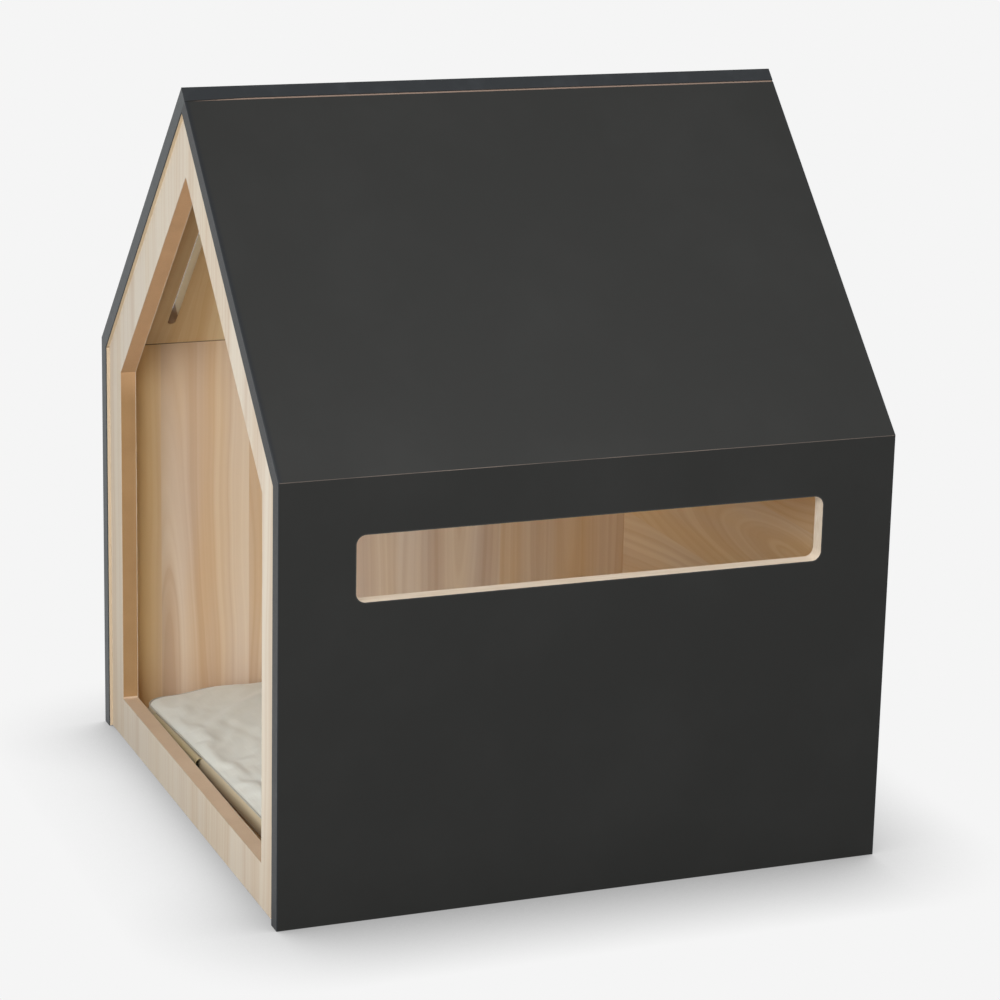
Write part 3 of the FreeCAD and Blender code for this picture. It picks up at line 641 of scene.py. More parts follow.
def cushion_form(name, skin, columns):
    """The cushion's closed form, smaller all round by a skin: two panels on a grid, bridged by
    the boxed side, with the weave's own map on it in metres."""
    bm = bmesh.new()
    bmesh.ops.create_grid(bm, x_segments=columns, y_segments=columns, size=1)
    copies = bmesh.ops.duplicate(bm, geom=bm.verts[:] + bm.edges[:] + bm.faces[:])["geom"]
    bmesh.ops.translate(bm, vec=(0, 0, 1), verts=[g for g in copies if isinstance(g, bmesh.types.BMVert)])
    bmesh.ops.bridge_loops(bm, edges=[e for e in bm.edges if e.is_boundary])
    posts = [e for e in bm.edges if abs(e.verts[0].co.z - e.verts[1].co.z) > 0.5]
    bmesh.ops.subdivide_edges(bm, edges=posts, cuts=COVER_SIDE_ROWS - 1)
    bmesh.ops.recalc_face_normals(bm, faces=bm.faces[:])
    weave = bm.loops.layers.uv.new("weave")
    for face in bm.faces:
        levels = [vert.co.z for vert in face.verts]
        upright = max(levels) - min(levels) > 0.01
        face.material_index = int(upright)
        for loop in face.loops:
            a, b, level = loop.vert.co
            if not upright:
                loop[weave].uv = (a * cover_half.x, b * cover_half.y)
                continue
            a_face, b_face, _ = face.calc_center_median()
            along = b * cover_half.y if abs(a_face) > abs(b_face) else a * cover_half.x
            loop[weave].uv = (along, level * COVER_SIDE + 2 * cover_half.y)
    for vert in bm.verts:
        a, b, level = vert.co
        edge = max(abs(a), abs(b))
        height = level * COVER_SIDE
        inset = COVER_SEAM_INSET + skin
        if edge > 0.9999:
            inset -= COVER_BULGE * math.sin(math.pi * level)
        inset += COVER_TUCK * max(0, 1 - height / COVER_TUCK_HEIGHT) ** 2
        x, y = rounded(a, b, (cover_half.x - inset, cover_half.y - inset))
        if level > 0.9999:
            roll, crown = rise(a, b, COVER_ROLL_REACH), rise(a, b, COVER_CROWN_REACH)
            height += COVER_ROLL * roll + COVER_CROWN * crown - skin
            height += COVER_WAVE * roll * noise.noise(Vector((x, y, 0.4)) * COVER_WAVE_SCALE)
        elif level < 0.0001:
            height += skin
        vert.co = (x, y, height)
    mesh = kept_mesh(name, bm)
    mesh.shade_smooth()
    mesh.transform(cushion_place)
    return placed(name, mesh)


cover = cushion_form("cushion_cover_fabric", 0.0, COVER_COLUMNS)

# Foam: one slab of cream upholstery foam, cut to the cover's form a little under its size and pushed
# in through the zip. Nothing else holds it.
FOAM_GAP = 0.0003
FOAM_COLUMNS = 40
PORE_SCALE = 700.0
PORE_RELIEF = 0.0006
FOAM_CREAM = (0.8, 0.75, 0.6, 1)
FOAM_SHADE = (0.66, 0.6, 0.45, 1)

foam = cushion_form("cushion_foam_slab", COVER_THICKNESS + FOAM_GAP, FOAM_COLUMNS)


def foam_finish():
    """Open-celled foam with its fine pores."""
    material, shader, place = new_finish("foam", 0.95, 0.1)
    pores = place.node("ShaderNodeTexVoronoi", {}, {"Vector": place, "Scale": PORE_SCALE}, "Distance")
    feed(shader, "Base Color", pores.ramp((0.1, 0), (0.6, 1)).mix(FOAM_SHADE, FOAM_CREAM))
    raise_surface(shader, pores, PORE_RELIEF)
    return material


foam.data.polygons.foreach_set("material_index", [0] * len(foam.data.polygons))
foam.data.materials.append(foam_finish())
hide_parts("cushion_foam")
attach(foam, "cushion")

# The cover settles on the foam: its panels are cut a little larger than the slab, so the top
# sinks under its own weight into shallow wrinkles. The boxed side and the underside stay put.
CLOTH_FRAMES = 20
CLOTH_SPARE = 0.015
CLOTH_LIFT_LIMIT = 0.0045
CLOTH_SHARE = 0.7
CREASE_HEIGHT = 0.0009
CREASE_SCALE = 16.0
CREASE_STRETCH = 0.28


def settle(piece, support):
    """Drops the slack top panel on the foam and keeps the result as the piece's mesh."""
    rest = [vert.co.copy() for vert in piece.data.vertices]
    from_cushion = cushion_place.inverted()
    pinned = piece.vertex_groups.new(name="sewn_down")
    for vert in piece.data.vertices:
        place = from_cushion @ vert.co
        if place.z < COVER_SIDE + 0.0002:
            pinned.add([vert.index], 1.0, "ADD")
            continue
        lie = Vector((place.x * 0.8 + place.y * 0.6, (place.y * 0.8 - place.x * 0.6) * CREASE_STRETCH, 0))
        vert.co.z += CREASE_HEIGHT * noise.noise(lie * CREASE_SCALE)
    support.modifiers.new("support", "COLLISION")
    support.collision.thickness_outer = 0.001
    support.collision.cloth_friction = 8
    cloth = piece.modifiers.new("cloth", "CLOTH")
    fabric = cloth.settings
    fabric.quality = 6
    fabric.mass = 0.25
    fabric.tension_stiffness = 25
    fabric.compression_stiffness = 25
    fabric.shear_stiffness = 12
    fabric.bending_stiffness = 4
    fabric.shrink_min = -CLOTH_SPARE
    fabric.vertex_group_mass = pinned.name
    fabric.effector_weights.gravity = 0.4
    cloth.collision_settings.distance_min = 0.001
    cloth.collision_settings.collision_quality = 3
    cloth.point_cache.frame_end = CLOTH_FRAMES
    for step in range(1, CLOTH_FRAMES + 1):
        bpy.context.scene.frame_set(step)
    settled = applied(piece)
    piece.modifiers.clear()
    support.modifiers.clear()
    for vert, start in zip(settled.vertices, rest):
        moved = vert.co - start
        moved.z = max(-CLOTH_LIFT_LIMIT, min(CLOTH_LIFT_LIMIT, moved.z * CLOTH_SHARE))
        vert.co = start + moved
    piece.data = settled
    bpy.context.scene.frame_set(1)


settle(cover, foam)

# Use has pressed the cushion's edge down in places, most at its front left corner, and plumped it
# up beside that. It has left folds in the top panel, clear behind the doorway and faint all over.
SLUMPS = (
    ((-0.285, -0.243), (0.045, 0.024), 0.004),
    ((-0.275, -0.192), (0.045, 0.028), -0.0042),
    ((-0.285, -0.13), (0.05, 0.03), 0.001),
    ((-0.285, 0.1), (0.04, 0.06), 0.003),
    ((0.285, 0.03), (0.045, 0.07), 0.0035),
    ((0.285, 0.27), (0.06, 0.06), 0.0045),
    ((-0.08, 0.285), (0.09, 0.045), 0.003),
)
CLEAR_FOLDS = (
    (((-0.227, -0.185), (-0.191, -0.2), (-0.171, -0.221)), 0.009, 0.0007),
    (((-0.134, -0.217), (-0.105, -0.209), (-0.077, -0.198)), 0.0065, 0.0007),
    (((-0.138, -0.241), (-0.114, -0.245), (-0.081, -0.232)), 0.005, 0.0004),
    (((-0.023, -0.252), (-0.036, -0.225), (-0.042, -0.2)), 0.005, 0.0004),
    (((-0.004, -0.248), (-0.01, -0.219), (-0.01, -0.19)), 0.005, 0.0004),
)
FAINT_FOLDS = 22
FAINT_REGION = ((-0.24, 0.24), (-0.15, 0.24))
FAINT_RUN = (0.018, 0.042)
FAINT_WIDTH = (0.005, 0.009)
FAINT_DEPTH = (0.0003, 0.0007)
FOLD_LIP = 0.35
FOLD_HEM = 0.02


def slump(x, y):
    """How far the cushion's edge has sunk at this place."""
    return sum(
        depth * math.exp(-((x - middle[0]) / reach[0]) ** 2 - ((y - middle[1]) / reach[1]) ** 2)
        for middle, reach, depth in SLUMPS
    )


def press_down(piece):
    """Lowers a cushion piece where it has sunk: all of its top, less of its sides, not its underside."""
    for vert in piece.data.vertices:
        share = min(1, (vert.co.z - cushion_low) / COVER_SIDE)
        vert.co.z -= slump(vert.co.x, vert.co.y) * share


def faint_folds(seed):
    """Folds that are not seen clearly: any place, any way they run, a slight bend."""
    chance = random.Random(seed)
    folds = []
    for _ in range(FAINT_FOLDS):
        middle = Vector([chance.uniform(*span) for span in FAINT_REGION])
        run = Vector((chance.uniform(*FAINT_RUN), 0))
        run.rotate(Matrix.Rotation(chance.gauss(0.5, 0.8), 2))
        bend = run.orthogonal() * chance.uniform(-0.25, 0.25)
        line = (middle - run, middle + bend, middle + run)
        folds.append((line, chance.uniform(*FAINT_WIDTH), chance.uniform(*FAINT_DEPTH)))
    return folds


def fold_height(spot, line, width, depth):
    """A fold's height at this spot: a valley with a lip along one side, dying out at both ends."""
    height = 0
    for start, end in zip(line, line[1:]):
        run = Vector(end) - Vector(start)
        from_start = spot - Vector(start)
        along = from_start.dot(run) / run.length
        beyond = max(-along, along - run.length, 0) / (width * 1.5)
        aside = run.cross(from_start) / run.length / width
        if beyond > 3 or abs(aside) > 5:
            continue
        section = FOLD_LIP * math.exp(-((aside - 1.7) ** 2)) - math.exp(-(aside ** 2))
        height = min((height, section * depth * math.exp(-(beyond ** 2))), key=lambda value: -abs(value))
    return height


def crease(piece):
    """Smooths the cover's mesh once and lays the folds in its top panel."""
    smooth = piece.modifiers.new("smooth", "SUBSURF")
    smooth.levels = smooth.render_levels = 1
    fine = applied(piece)
    piece.modifiers.clear()
    piece.data = fine
    from_cushion = cushion_place.inverted()
    folds = list(CLEAR_FOLDS) + faint_folds(19)
    for vert in fine.vertices:
        place = from_cushion @ vert.co
        if place.z < COVER_SIDE + 0.0001:
            continue
        seam = min(cover_half.x - abs(place.x), cover_half.y - abs(place.y))
        hem = min(1, max(0, seam / FOLD_HEM))
        spot = Vector(vert.co[:2])
        vert.co.z += hem * sum(fold_height(spot, *fold) for fold in folds)


crease(cover)
press_down(cover)
press_down(foam)

COTTON_PALE = (0.82, 0.84, 0.78, 1)
COTTON_SHADE = (0.75, 0.76, 0.69, 1)
# The boxed side's cotton is painted a darker, more golden tan than the top's: painted warm shade, as it faces the
# frame's rail close by. Below its seam it is painted darker still, as painted shade in the gap.
GUSSET_PALE = (0.71, 0.61, 0.42, 1)
GUSSET_SHADE = (0.61, 0.5, 0.31, 1)
GUSSET_PAINTED_SHADE = (0.42, 0.3, 0.14, 1)
SHADE_BELOW_SEAM = (0.013, 0.005)
THREADS_PER_METRE = 900.0
RUMPLE_SCALE = 38.0
RUMPLE_DEPTH = 1.8
SLUB_SCALE = (40.0, 900.0)
WEAVE_RELIEF = 0.00025


def woven_finish(name, pale, shade, threads=THREADS_PER_METRE, slub=1.0, painted_shade=None):
    """Plain-woven cotton on the piece's own map: threads over and under, thick and thin. With a
    painted shade colour given, the boxed side is painted darker below its seam, as shade."""
    material, shader, place = new_finish(name, 0.9, 0.2)
    shader.inputs["Sheen Weight"].default_value = 0.25
    weave = place.node("ShaderNodeUVMap", {"uv_map": "weave"}, {})
    turn = 2 * math.pi * threads / 2
    u, v = weave.dot((1, 0, 0)), weave.dot((0, 1, 0))
    cloth = (u * turn).maths("SINE") * (v * turn).maths("SINE") * 0.5 + 0.5
    thick = (u * SLUB_SCALE[0]).joined(v * SLUB_SCALE[1], 0.0).noise(1.0, 2.0)
    thin = (v * SLUB_SCALE[0]).joined(u * SLUB_SCALE[1], 5.0).noise(1.0, 2.0)
    cloud = place.noise(14.0, 3.0)
    share = (thick + thin) * 0.35 * slub + cloud * 0.5 + cloth * 0.12
    colour = share.ramp((0.3, 0), (0.9, 1)).mix(shade, pale)
    # Painted shade below the seam.
    if painted_shade:
        low, high = (cushion_low + COVER_SIDE - below for below in SHADE_BELOW_SEAM)
        colour = place.dot((0, 0, 1)).ramp((low, 1), (high, 0)).mix(colour, painted_shade)
    feed(shader, "Base Color", colour)
    rumple = place.noise(RUMPLE_SCALE, 3.0, 0.55) * RUMPLE_DEPTH
    raise_surface(shader, cloth * 0.7 + thick + thin + rumple, WEAVE_RELIEF)
    return material


cotton = woven_finish("cushion_cotton", COTTON_PALE, COTTON_SHADE)
gusset_cotton = woven_finish("gusset_cotton", GUSSET_PALE, GUSSET_SHADE, painted_shade=GUSSET_PAINTED_SHADE)
cover.data.materials.append(cotton)
cover.data.materials.append(gusset_cotton)
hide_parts("cushion_cover")
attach(cover, "cushion")

# Welts: a narrow bias-cut strip sewn into the seam at the cover's top edge and into the one at
# its bottom edge.
WELT_RADIUS = 0.0007
WELT_SIDE_STEPS = 60
BIAS_THREADS = 5200.0
BIAS_RELIEF = 0.0001
# Painted shade: the welts are coloured grey, darker than the cover, for the shade along the seams.
WELT_PAINTED_SHADE = (0.6, 0.585, 0.53, 1)
WELT_SHADE = (0.5, 0.48, 0.425, 1)


def welt(name, height, inset):
    """A closed round strip that follows the cover's seam at this height."""
    line = bpy.data.curves.new(name, "CURVE")
    line.dimensions = "3D"
    line.bevel_depth = WELT_RADIUS
    line.bevel_resolution = 2
    spline = line.splines.new("POLY")
    spline.use_cyclic_u = True
    spline.points.add(4 * WELT_SIDE_STEPS - 1)
    for step, point in enumerate(spline.points):
        turn, share = divmod(step, WELT_SIDE_STEPS)
        along = 2 * share / WELT_SIDE_STEPS - 1
        corner = ((along, -1), (1, along), (-along, 1), (-1, -along))[turn]
        x, y = rounded(*corner, (cover_half.x - inset, cover_half.y - inset))
        place = cushion_place @ Vector((x, y, height))
        place.z -= slump(place.x, place.y) * height / COVER_SIDE
        point.co = (*place, 1)
    curve = placed(name, line)
    mesh = applied(curve)
    bpy.data.objects.remove(curve)
    mesh.name = name
    return placed(name, mesh)


def bias_finish():
    """Cotton strip painted grey as the seam's shade, with its threads running slantwise."""
    material, shader, place = new_finish("welt_cotton", 0.9, 0.2)
    slant = (place.dot((0.6, 0.5, 0.62)) * BIAS_THREADS).maths("SINE") * 0.5 + 0.5
    feed(shader, "Base Color", (slant * 0.5 + place.noise(60.0, 3.0) * 0.5).mix(WELT_SHADE, WELT_PAINTED_SHADE))
    raise_surface(shader, slant, BIAS_RELIEF)
    return material


welt_cotton = bias_finish()
for name, height, inset in (
    ("cushion_top_welt", COVER_SIDE, COVER_SEAM_INSET - WELT_RADIUS * 0.4),
    ("cushion_bottom_welt", WELT_RADIUS, COVER_SEAM_INSET + COVER_TUCK),
):
    ring = welt(name, height, inset)
    ring.data.materials.append(welt_cotton)
    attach(ring, "cushion")

# Zip tape: two woven strips sewn behind the slit in the cover's side, edge to edge, each with a
# row of nylon coil whose loops hook into the other's.
joints = {joint["name"]: joint for joint in frame["joints"]}
pull_pivot = Vector(joints["pull_swing"]["pos_m"])
zip_across = -Vector(joints["zip_slide"]["axis"])
zip_out = Vector(joints["pull_swing"]["axis"])
zip_place = Matrix.Translation(pull_pivot) @ Matrix(
    (zip_across, -zip_out, Vector((0, 0, 1)))
).transposed().to_4x4()


def zip_box(node):
    """The lowest and highest corner of a node in the zip's own frame: X along it, Y into the
    cushion, Z up, from the pull tab's pivot."""
    from_zip = zip_place.inverted()
    axes = list(zip(*(from_zip @ vert.co for vert in nodes[node].data.vertices)))
    return Vector([min(axis) for axis in axes]), Vector([max(axis) for axis in axes])


def zip_piece(name, bm, material):
    """A finished mesh, carried from the zip's frame to its place on the cushion."""
    mesh = kept_mesh(name, bm)
    mesh.transform(zip_place)
    mesh.materials.append(material)
    piece = placed(name, mesh)
    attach(piece, "cushion")
    return piece


TAPE_CLOTH = 0.0005
TAPE_GAP = 0.0003
TAPE_SEGMENTS = 140
TAPE_RIB = 0.00012
TAPE_RIB_PITCH = 0.0006
TAPE_RELIEF = 0.0001
COIL_PITCH = 0.0014
COIL_WIRE = 0.00026
COIL_SIDES = 5
COIL_TURN_STEPS = 10
COIL_OVERLAP = 0.0004
COIL_REACH = 0.0018
STOP_LENGTH = 0.0025
TAPE_OLIVE = (0.3, 0.265, 0.17, 1)
TAPE_SHADE = (0.23, 0.2, 0.125, 1)
COIL_OLIVE = (0.24, 0.21, 0.13, 1)

tape_low, tape_high = zip_box("zip_tape")
stops_low, stops_high = zip_box("zip_end_stops")


def tape_finish():
    """Ribbed polyester tape."""
    material, shader, place = new_finish("zip_tape", 0.8, 0.2)
    rib = (place.dot(tuple(zip_across)) * (2 * math.pi / TAPE_RIB_PITCH)).maths("SINE") * 0.5 + 0.5
    share = rib * 0.5 + place.noise(300.0, 2.0) * 0.5
    feed(shader, "Base Color", share.mix(TAPE_SHADE, TAPE_OLIVE))
    raise_surface(shader, rib, TAPE_RELIEF)
    return material


def coil_finish():
    """Glossy nylon wire."""
    material, shader, place = new_finish("zip_coil", 0.35, 0.5)
    feed(shader, "Base Color", place.noise(400.0, 2.0).mix(TAPE_SHADE, COIL_OLIVE))
    return material


tape_bm = bmesh.new()
tape_face = stops_high.y
for side in (-1, 1):
    made = bmesh.ops.create_grid(tape_bm, x_segments=TAPE_SEGMENTS, y_segments=8, size=0.5)["verts"]
    height = tape_high.z - TAPE_GAP
    bmesh.ops.scale(tape_bm, vec=(tape_high.x - tape_low.x, height, 1), verts=made)
    bmesh.ops.rotate(tape_bm, matrix=Matrix.Rotation(math.pi / 2, 3, "X"), verts=made)
    middle = ((tape_low.x + tape_high.x) / 2, tape_face, side * (TAPE_GAP + height / 2))
    bmesh.ops.translate(tape_bm, vec=middle, verts=made)
for vert in tape_bm.verts:
    vert.co.y += TAPE_RIB * abs(math.sin(vert.co.z / tape_high.z * math.pi * 2))
bmesh.ops.solidify(tape_bm, geom=tape_bm.faces[:], thickness=TAPE_CLOTH)
bmesh.ops.recalc_face_normals(tape_bm, faces=tape_bm.faces[:])
tape = zip_piece("zip_tape_strips", tape_bm, tape_finish())
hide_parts("zip_tape")


def coil_row(bm, side):
    """One row of coil: a wire spun in flattened turns along the zip, hooked past the middle."""
    start, end = stops_low.x + STOP_LENGTH, stops_high.x - STOP_LENGTH
    turns = int((end - start) / COIL_PITCH - 1)
    depth = (tape_face - tape_low.y) / 2 - COIL_WIRE
    reach = (COIL_REACH + COIL_OVERLAP) / 2 - COIL_WIRE
    wire = bmesh.ops.create_circle(bm, segments=COIL_SIDES, radius=COIL_WIRE)["verts"]
    bmesh.ops.rotate(bm, matrix=Matrix.Rotation(math.pi / 2, 3, "X"), verts=wire)
    bmesh.ops.translate(bm, vec=(depth, 0, 0), verts=wire)
    edges = list({edge for vert in wire for edge in vert.link_edges})
    before = set(bm.verts) - set(wire)
    bmesh.ops.spin(
        bm, geom=wire + edges, axis=(0, 0, 1), cent=(0, 0, 0), angle=2 * math.pi * turns,
        dvec=(0, 0, COIL_PITCH / COIL_TURN_STEPS), steps=COIL_TURN_STEPS * turns, use_merge=False,
    )
    row = [vert for vert in bm.verts if vert not in before]
    bmesh.ops.holes_fill(bm, edges=[edge for edge in bm.edges if edge.is_boundary])
    bmesh.ops.rotate(bm, matrix=Matrix.Rotation(math.pi / 2, 3, "Y"), verts=row)
    bmesh.ops.rotate(bm, matrix=Matrix.Rotation(math.pi / 2, 3, "X"), verts=row)
    bmesh.ops.scale(bm, vec=(1, 1, reach / depth), verts=row)
    middle = side * ((COIL_REACH + COIL_OVERLAP) / 2 - COIL_OVERLAP)
    shift = COIL_PITCH / 2 if side > 0 else 0
    place = (start + COIL_PITCH / 2 + shift, (tape_face + tape_low.y) / 2, middle)
    bmesh.ops.translate(bm, vec=place, verts=row)


coil_bm = bmesh.new()
for side in (-1, 1):
    coil_row(coil_bm, side)
bmesh.ops.recalc_face_normals(coil_bm, faces=coil_bm.faces[:])
coil = zip_piece("zip_coil", coil_bm, coil_finish())
coil.data.shade_smooth()

# Zip metalwork: die-cast end stops pressed on the tape, a slider and its short pull tab on a
# rivet, all plated dark. Tumbling leaves every edge a little round.
ZINC_ROUNDING = 0.00012
ZINC_DARK = (0.075, 0.068, 0.058, 1)
ZINC_WORN = (0.25, 0.22, 0.17, 1)
SHARP = math.radians(25)


def softened(name, node, body):
    """A merged copy of a node with every sharp edge rounded, which stands for the node."""
    bm = bmesh.new()
    bm.from_mesh(nodes[node].data)
    bmesh.ops.remove_doubles(bm, verts=bm.verts[:], dist=0.000001)
    bmesh.ops.dissolve_limit(bm, angle_limit=math.radians(0.5), verts=bm.verts[:], edges=bm.edges[:])
    sharp = [edge for edge in bm.edges if edge.calc_face_angle(0) > SHARP]
    bmesh.ops.bevel(bm, geom=sharp, offset=ZINC_ROUNDING, segments=2, affect="EDGES", profile=0.5,
                    material=-1, clamp_overlap=True)
    piece = placed(name, kept_mesh(name, bm))
    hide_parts(node)
    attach(piece, body)
    return piece


def zinc_finish():
    """Dark plating, rubbed bright in places."""
    material, shader, place = new_finish("dark_zinc", 0.4, 0.5)
    shader.inputs["Metallic"].default_value = 1.0
    wear_and_painted_shade = place.noise(900.0, 3.0).ramp((0.5, 0), (0.8, 1))
    feed(shader, "Base Color", wear_and_painted_shade.mix(ZINC_DARK, ZINC_WORN))
    feed(shader, "Roughness", 0.5 - wear_and_painted_shade * 0.2)
    return material


zinc = zinc_finish()
for name, node, body in (
    ("zip_end_stop_pair", "zip_end_stops", "cushion"),
    ("zip_slider_body", "zip_slider", "slider"),
    ("zip_pull_tab", "zip_pull", "pull_tab"),
):
    softened(name, node, body).data.materials.append(zinc)

# Hood: a strip of olive twill sewn on below the top seam. It hangs over the zip as far as its open
# end on the right, and its free edge has a stitched hem.
HOOD_CLOTH = 0.0008
HOOD_SHOULDER = 0.005
HOOD_SEGMENTS = 96
HOOD_ROUND_STEPS = 6
HOOD_DROP_STEPS = 5
HOOD_HEM = 0.004
HOOD_WAVE = 0.0005
HOOD_WAVES = 5
STITCH_LENGTH = 0.0026
STITCH_PITCH = 0.0038
STITCH_RADIUS = 0.00018
OLIVE_PALE = (0.6, 0.5, 0.29, 1)
OLIVE_SHADE = (0.47, 0.385, 0.21, 1)
THREAD_PALE = (0.66, 0.62, 0.5, 1)
THREAD_TWIST = (9000.0, 6000.0)
TWILL_THREADS = 1400.0

hood_low, hood_high = zip_box("zip_hood")


def hood_mesh():
    """The hood's section, drawn as a line, drawn out along the zip, waved a little and thickened."""
    bm = bmesh.new()
    section = [(hood_high.y, hood_high.z)]
    for step in range(HOOD_ROUND_STEPS + 1):
        turn = math.pi / 2 * step / HOOD_ROUND_STEPS
        y = hood_low.y + HOOD_SHOULDER * (1 - math.sin(turn))
        section.append((y, hood_high.z - HOOD_SHOULDER * (1 - math.cos(turn))))
    drop = section[-1][1] - hood_low.z
    for step in range(1, HOOD_DROP_STEPS + 1):
        section.append((hood_low.y, hood_low.z + drop * (1 - step / HOOD_DROP_STEPS)))
    line = [bm.verts.new((hood_low.x, y, z)) for y, z in section]
    edges = [bm.edges.new(pair) for pair in zip(line, line[1:])]
    run = hood_high.x - hood_low.x
    bmesh.ops.spin(bm, geom=line + edges, axis=(1, 0, 0), cent=(0, 0, 0), angle=0,
                   dvec=(run / HOOD_SEGMENTS, 0, 0), steps=HOOD_SEGMENTS, use_merge=False)
    weave = bm.loops.layers.uv.new("weave")
    for face in bm.faces:
        face.smooth = True
        for loop in face.loops:
            loop[weave].uv = (loop.vert.co.x, loop.vert.co.z - loop.vert.co.y)
    for vert in bm.verts:
        fall = (hood_high.z - vert.co.z) / (hood_high.z - hood_low.z)
        wave = math.sin((vert.co.x - hood_low.x) / run * 2 * math.pi * HOOD_WAVES)
        vert.co.y += HOOD_WAVE * 0.5 * (1 + wave) * fall * fall * 0.4
        vert.co.z += HOOD_WAVE * 0.5 * (1 - wave) * fall
    bmesh.ops.recalc_face_normals(bm, faces=bm.faces[:])
    bmesh.ops.solidify(bm, geom=bm.faces[:], thickness=HOOD_CLOTH)
    return bm


twill = woven_finish("hood_twill", OLIVE_PALE, OLIVE_SHADE, TWILL_THREADS, 0.7)
hood = zip_piece("zip_hood_strip", hood_mesh(), twill)
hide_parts("zip_hood")

stitch_bm = bmesh.new()
stitch_count = int((hood_high.x - hood_low.x) / STITCH_PITCH)
for y, z in ((hood_low.y - STITCH_RADIUS * 0.3, hood_low.z + HOOD_HEM),
             (hood_low.y + HOOD_SHOULDER, hood_high.z + STITCH_RADIUS * 0.3)):
    for number in range(stitch_count):
        x = hood_low.x + STITCH_PITCH * (number + 0.5)
        stitch = bmesh.ops.create_icosphere(stitch_bm, subdivisions=1, radius=1)["verts"]
        bmesh.ops.scale(stitch_bm, vec=(STITCH_LENGTH / 2, STITCH_RADIUS, STITCH_RADIUS), verts=stitch)
        bmesh.ops.translate(stitch_bm, vec=(x, y, z), verts=stitch)


def thread_finish():
    """Twisted cotton thread."""
    material, shader, place = new_finish("thread", 0.8, 0.2)
    twist = place.dot(tuple(zip_across)) * THREAD_TWIST[0] + place.dot((0, 0, 1)) * THREAD_TWIST[1]
    ply = twist.maths("SINE") * 0.5 + 0.5
    feed(shader, "Base Color", ply.mix(OLIVE_PALE, THREAD_PALE))
    return material


zip_piece("zip_hood_stitching", stitch_bm, thread_finish())

# Studio: a pale paper floor that runs on to the horizon, an even sky and four soft lamps. Seen by
# the camera and in reflections, floor and sky are one pale tone, and the floor keeps the shadow.
BACKDROP = 0.913
SKY_STRENGTH = 0.3
FLOOR_SIZE = 60.0
FLOOR_DROP = 0.0003
FLOOR_REFLECTION = (0.35, 0.35, 0.35, 1)
SHADOW_REACH = 0.14
SHADOW_DEPTH = 0.9
SHADOW_LEAN = (-0.25, 0.05, 0.97)

floor_mesh = bmesh.new()
bmesh.ops.create_grid(floor_mesh, x_segments=1, y_segments=1, size=FLOOR_SIZE / 2)
bmesh.ops.translate(floor_mesh, vec=(0, 0, -FLOOR_DROP), verts=floor_mesh.verts[:])
floor = placed("studio_floor", kept_mesh("studio_floor", floor_mesh))


def is_seen(tree):
    """1 where the camera looks straight, by a reflection or through glass, and 0 for other light."""
    rays = tree.nodes.new("ShaderNodeLightPath").outputs
    by_camera, by_gloss, by_glass = (
        Signal(tree, rays[kind]) for kind in ("Is Camera Ray", "Is Glossy Ray", "Is Transmission Ray")
    )
    return (by_camera + by_gloss + by_glass).maths("MINIMUM", 1.0)


paper = bpy.data.materials.new("studio_paper")
paper.use_nodes = True
paper.node_tree.nodes.clear()
seen = is_seen(paper.node_tree)
lean = seen.node("ShaderNodeCombineXYZ", {}, dict(enumerate(SHADOW_LEAN)))
towards_light = {"Distance": SHADOW_REACH, "Normal": lean}
occlusion = seen.node("ShaderNodeAmbientOcclusion", {"samples": 16}, towards_light, "AO")
glow = {"Color": (BACKDROP, BACKDROP, BACKDROP, 1), "Strength": 1 - (1 - occlusion) * SHADOW_DEPTH}
shown = seen.node("ShaderNodeEmission", {}, glow)
matte = seen.node("ShaderNodeBsdfDiffuse", {}, {"Color": FLOOR_REFLECTION})
surface = seen.node("ShaderNodeMixShader", {}, {0: seen, 1: matte, 2: shown})
output = paper.node_tree.nodes.new("ShaderNodeOutputMaterial")
paper.node_tree.links.new(surface.socket, output.inputs["Surface"])
floor.data.materials.append(paper)

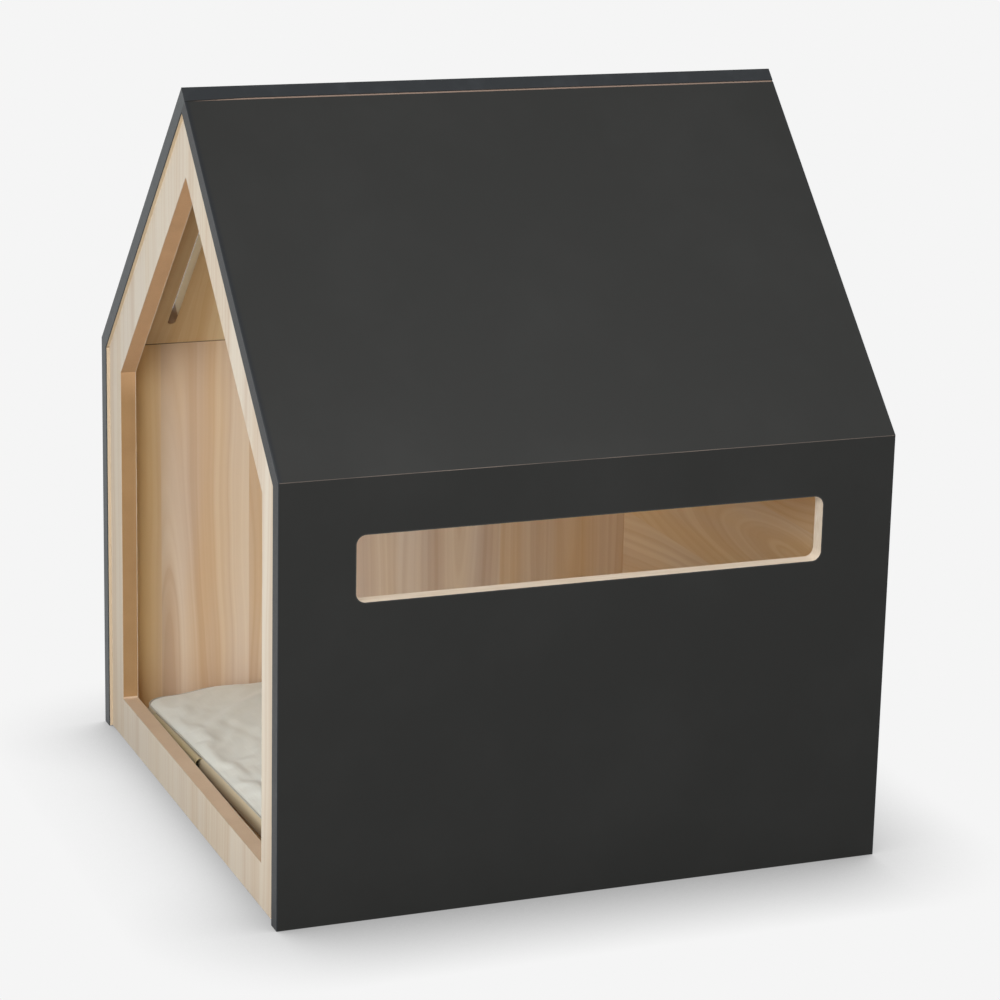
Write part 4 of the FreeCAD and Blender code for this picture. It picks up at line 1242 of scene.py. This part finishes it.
world = bpy.data.worlds.new("studio_sky")
bpy.context.scene.world = world
world.use_nodes = True
sky_tree = world.node_tree
sky_tree.nodes.clear()
strength = is_seen(sky_tree) * (BACKDROP - SKY_STRENGTH) + SKY_STRENGTH
sky = strength.node("ShaderNodeBackground", {}, {"Color": (1, 1, 1, 1), "Strength": strength})
sky_out = sky_tree.nodes.new("ShaderNodeOutputWorld")
sky_tree.links.new(sky.socket, sky_out.inputs["Surface"])

LAMP_TARGET = (0.0, -0.1, 0.35)
SOFTBOX_PLACES = (
    ("key_softbox", (2.1, -1.9, 1.5), 1.9, 61.0),
    ("front_softbox", (1.1, -1.8, 0.45), 1.0, 9.0),
    ("roof_softbox", (1.2, 0.2, 1.5), 0.8, 18.0),
    ("back_softbox", (-2.0, 1.7, 1.5), 1.6, 34.0),
)
for name, stand, side, power in SOFTBOX_PLACES:
    lamp_data = bpy.data.lights.new(name, "AREA")
    lamp_data.size = side
    lamp_data.energy = power
    lamp = placed(name, lamp_data)
    aim = (Vector(LAMP_TARGET) - Vector(stand)).to_track_quat("-Z", "Y").to_matrix().to_4x4()
    lamp.matrix_world = Matrix.Translation(stand) @ aim

# Camera: standing off the front right-hand corner, a little above the ridge, as the photograph
# was taken, through a long lens.
CAMERA_PLACE = (2.90396, -1.12733, 1.15555)
CAMERA_RIGHT = Vector((0.36985, 0.92879, 0.02377))
CAMERA_UP = Vector((-0.2502, 0.07492, 0.96529))
CAMERA_BACK = Vector((0.89477, -0.36296, 0.26009))
LENS = 117.785
SENSOR = 36
SHIFT = (-0.02437, -0.01702)

camera_data = bpy.data.cameras.new("camera")
camera = placed("camera", camera_data)
turned = Matrix((CAMERA_RIGHT, CAMERA_UP, CAMERA_BACK)).transposed().to_4x4()
camera.matrix_world = Matrix.Translation(CAMERA_PLACE) @ turned
camera_data.sensor_width = SENSOR
camera_data.lens = LENS
camera_data.shift_x, camera_data.shift_y = SHIFT
bpy.context.scene.camera = camera
bpy.context.scene.view_settings.view_transform = "Standard"
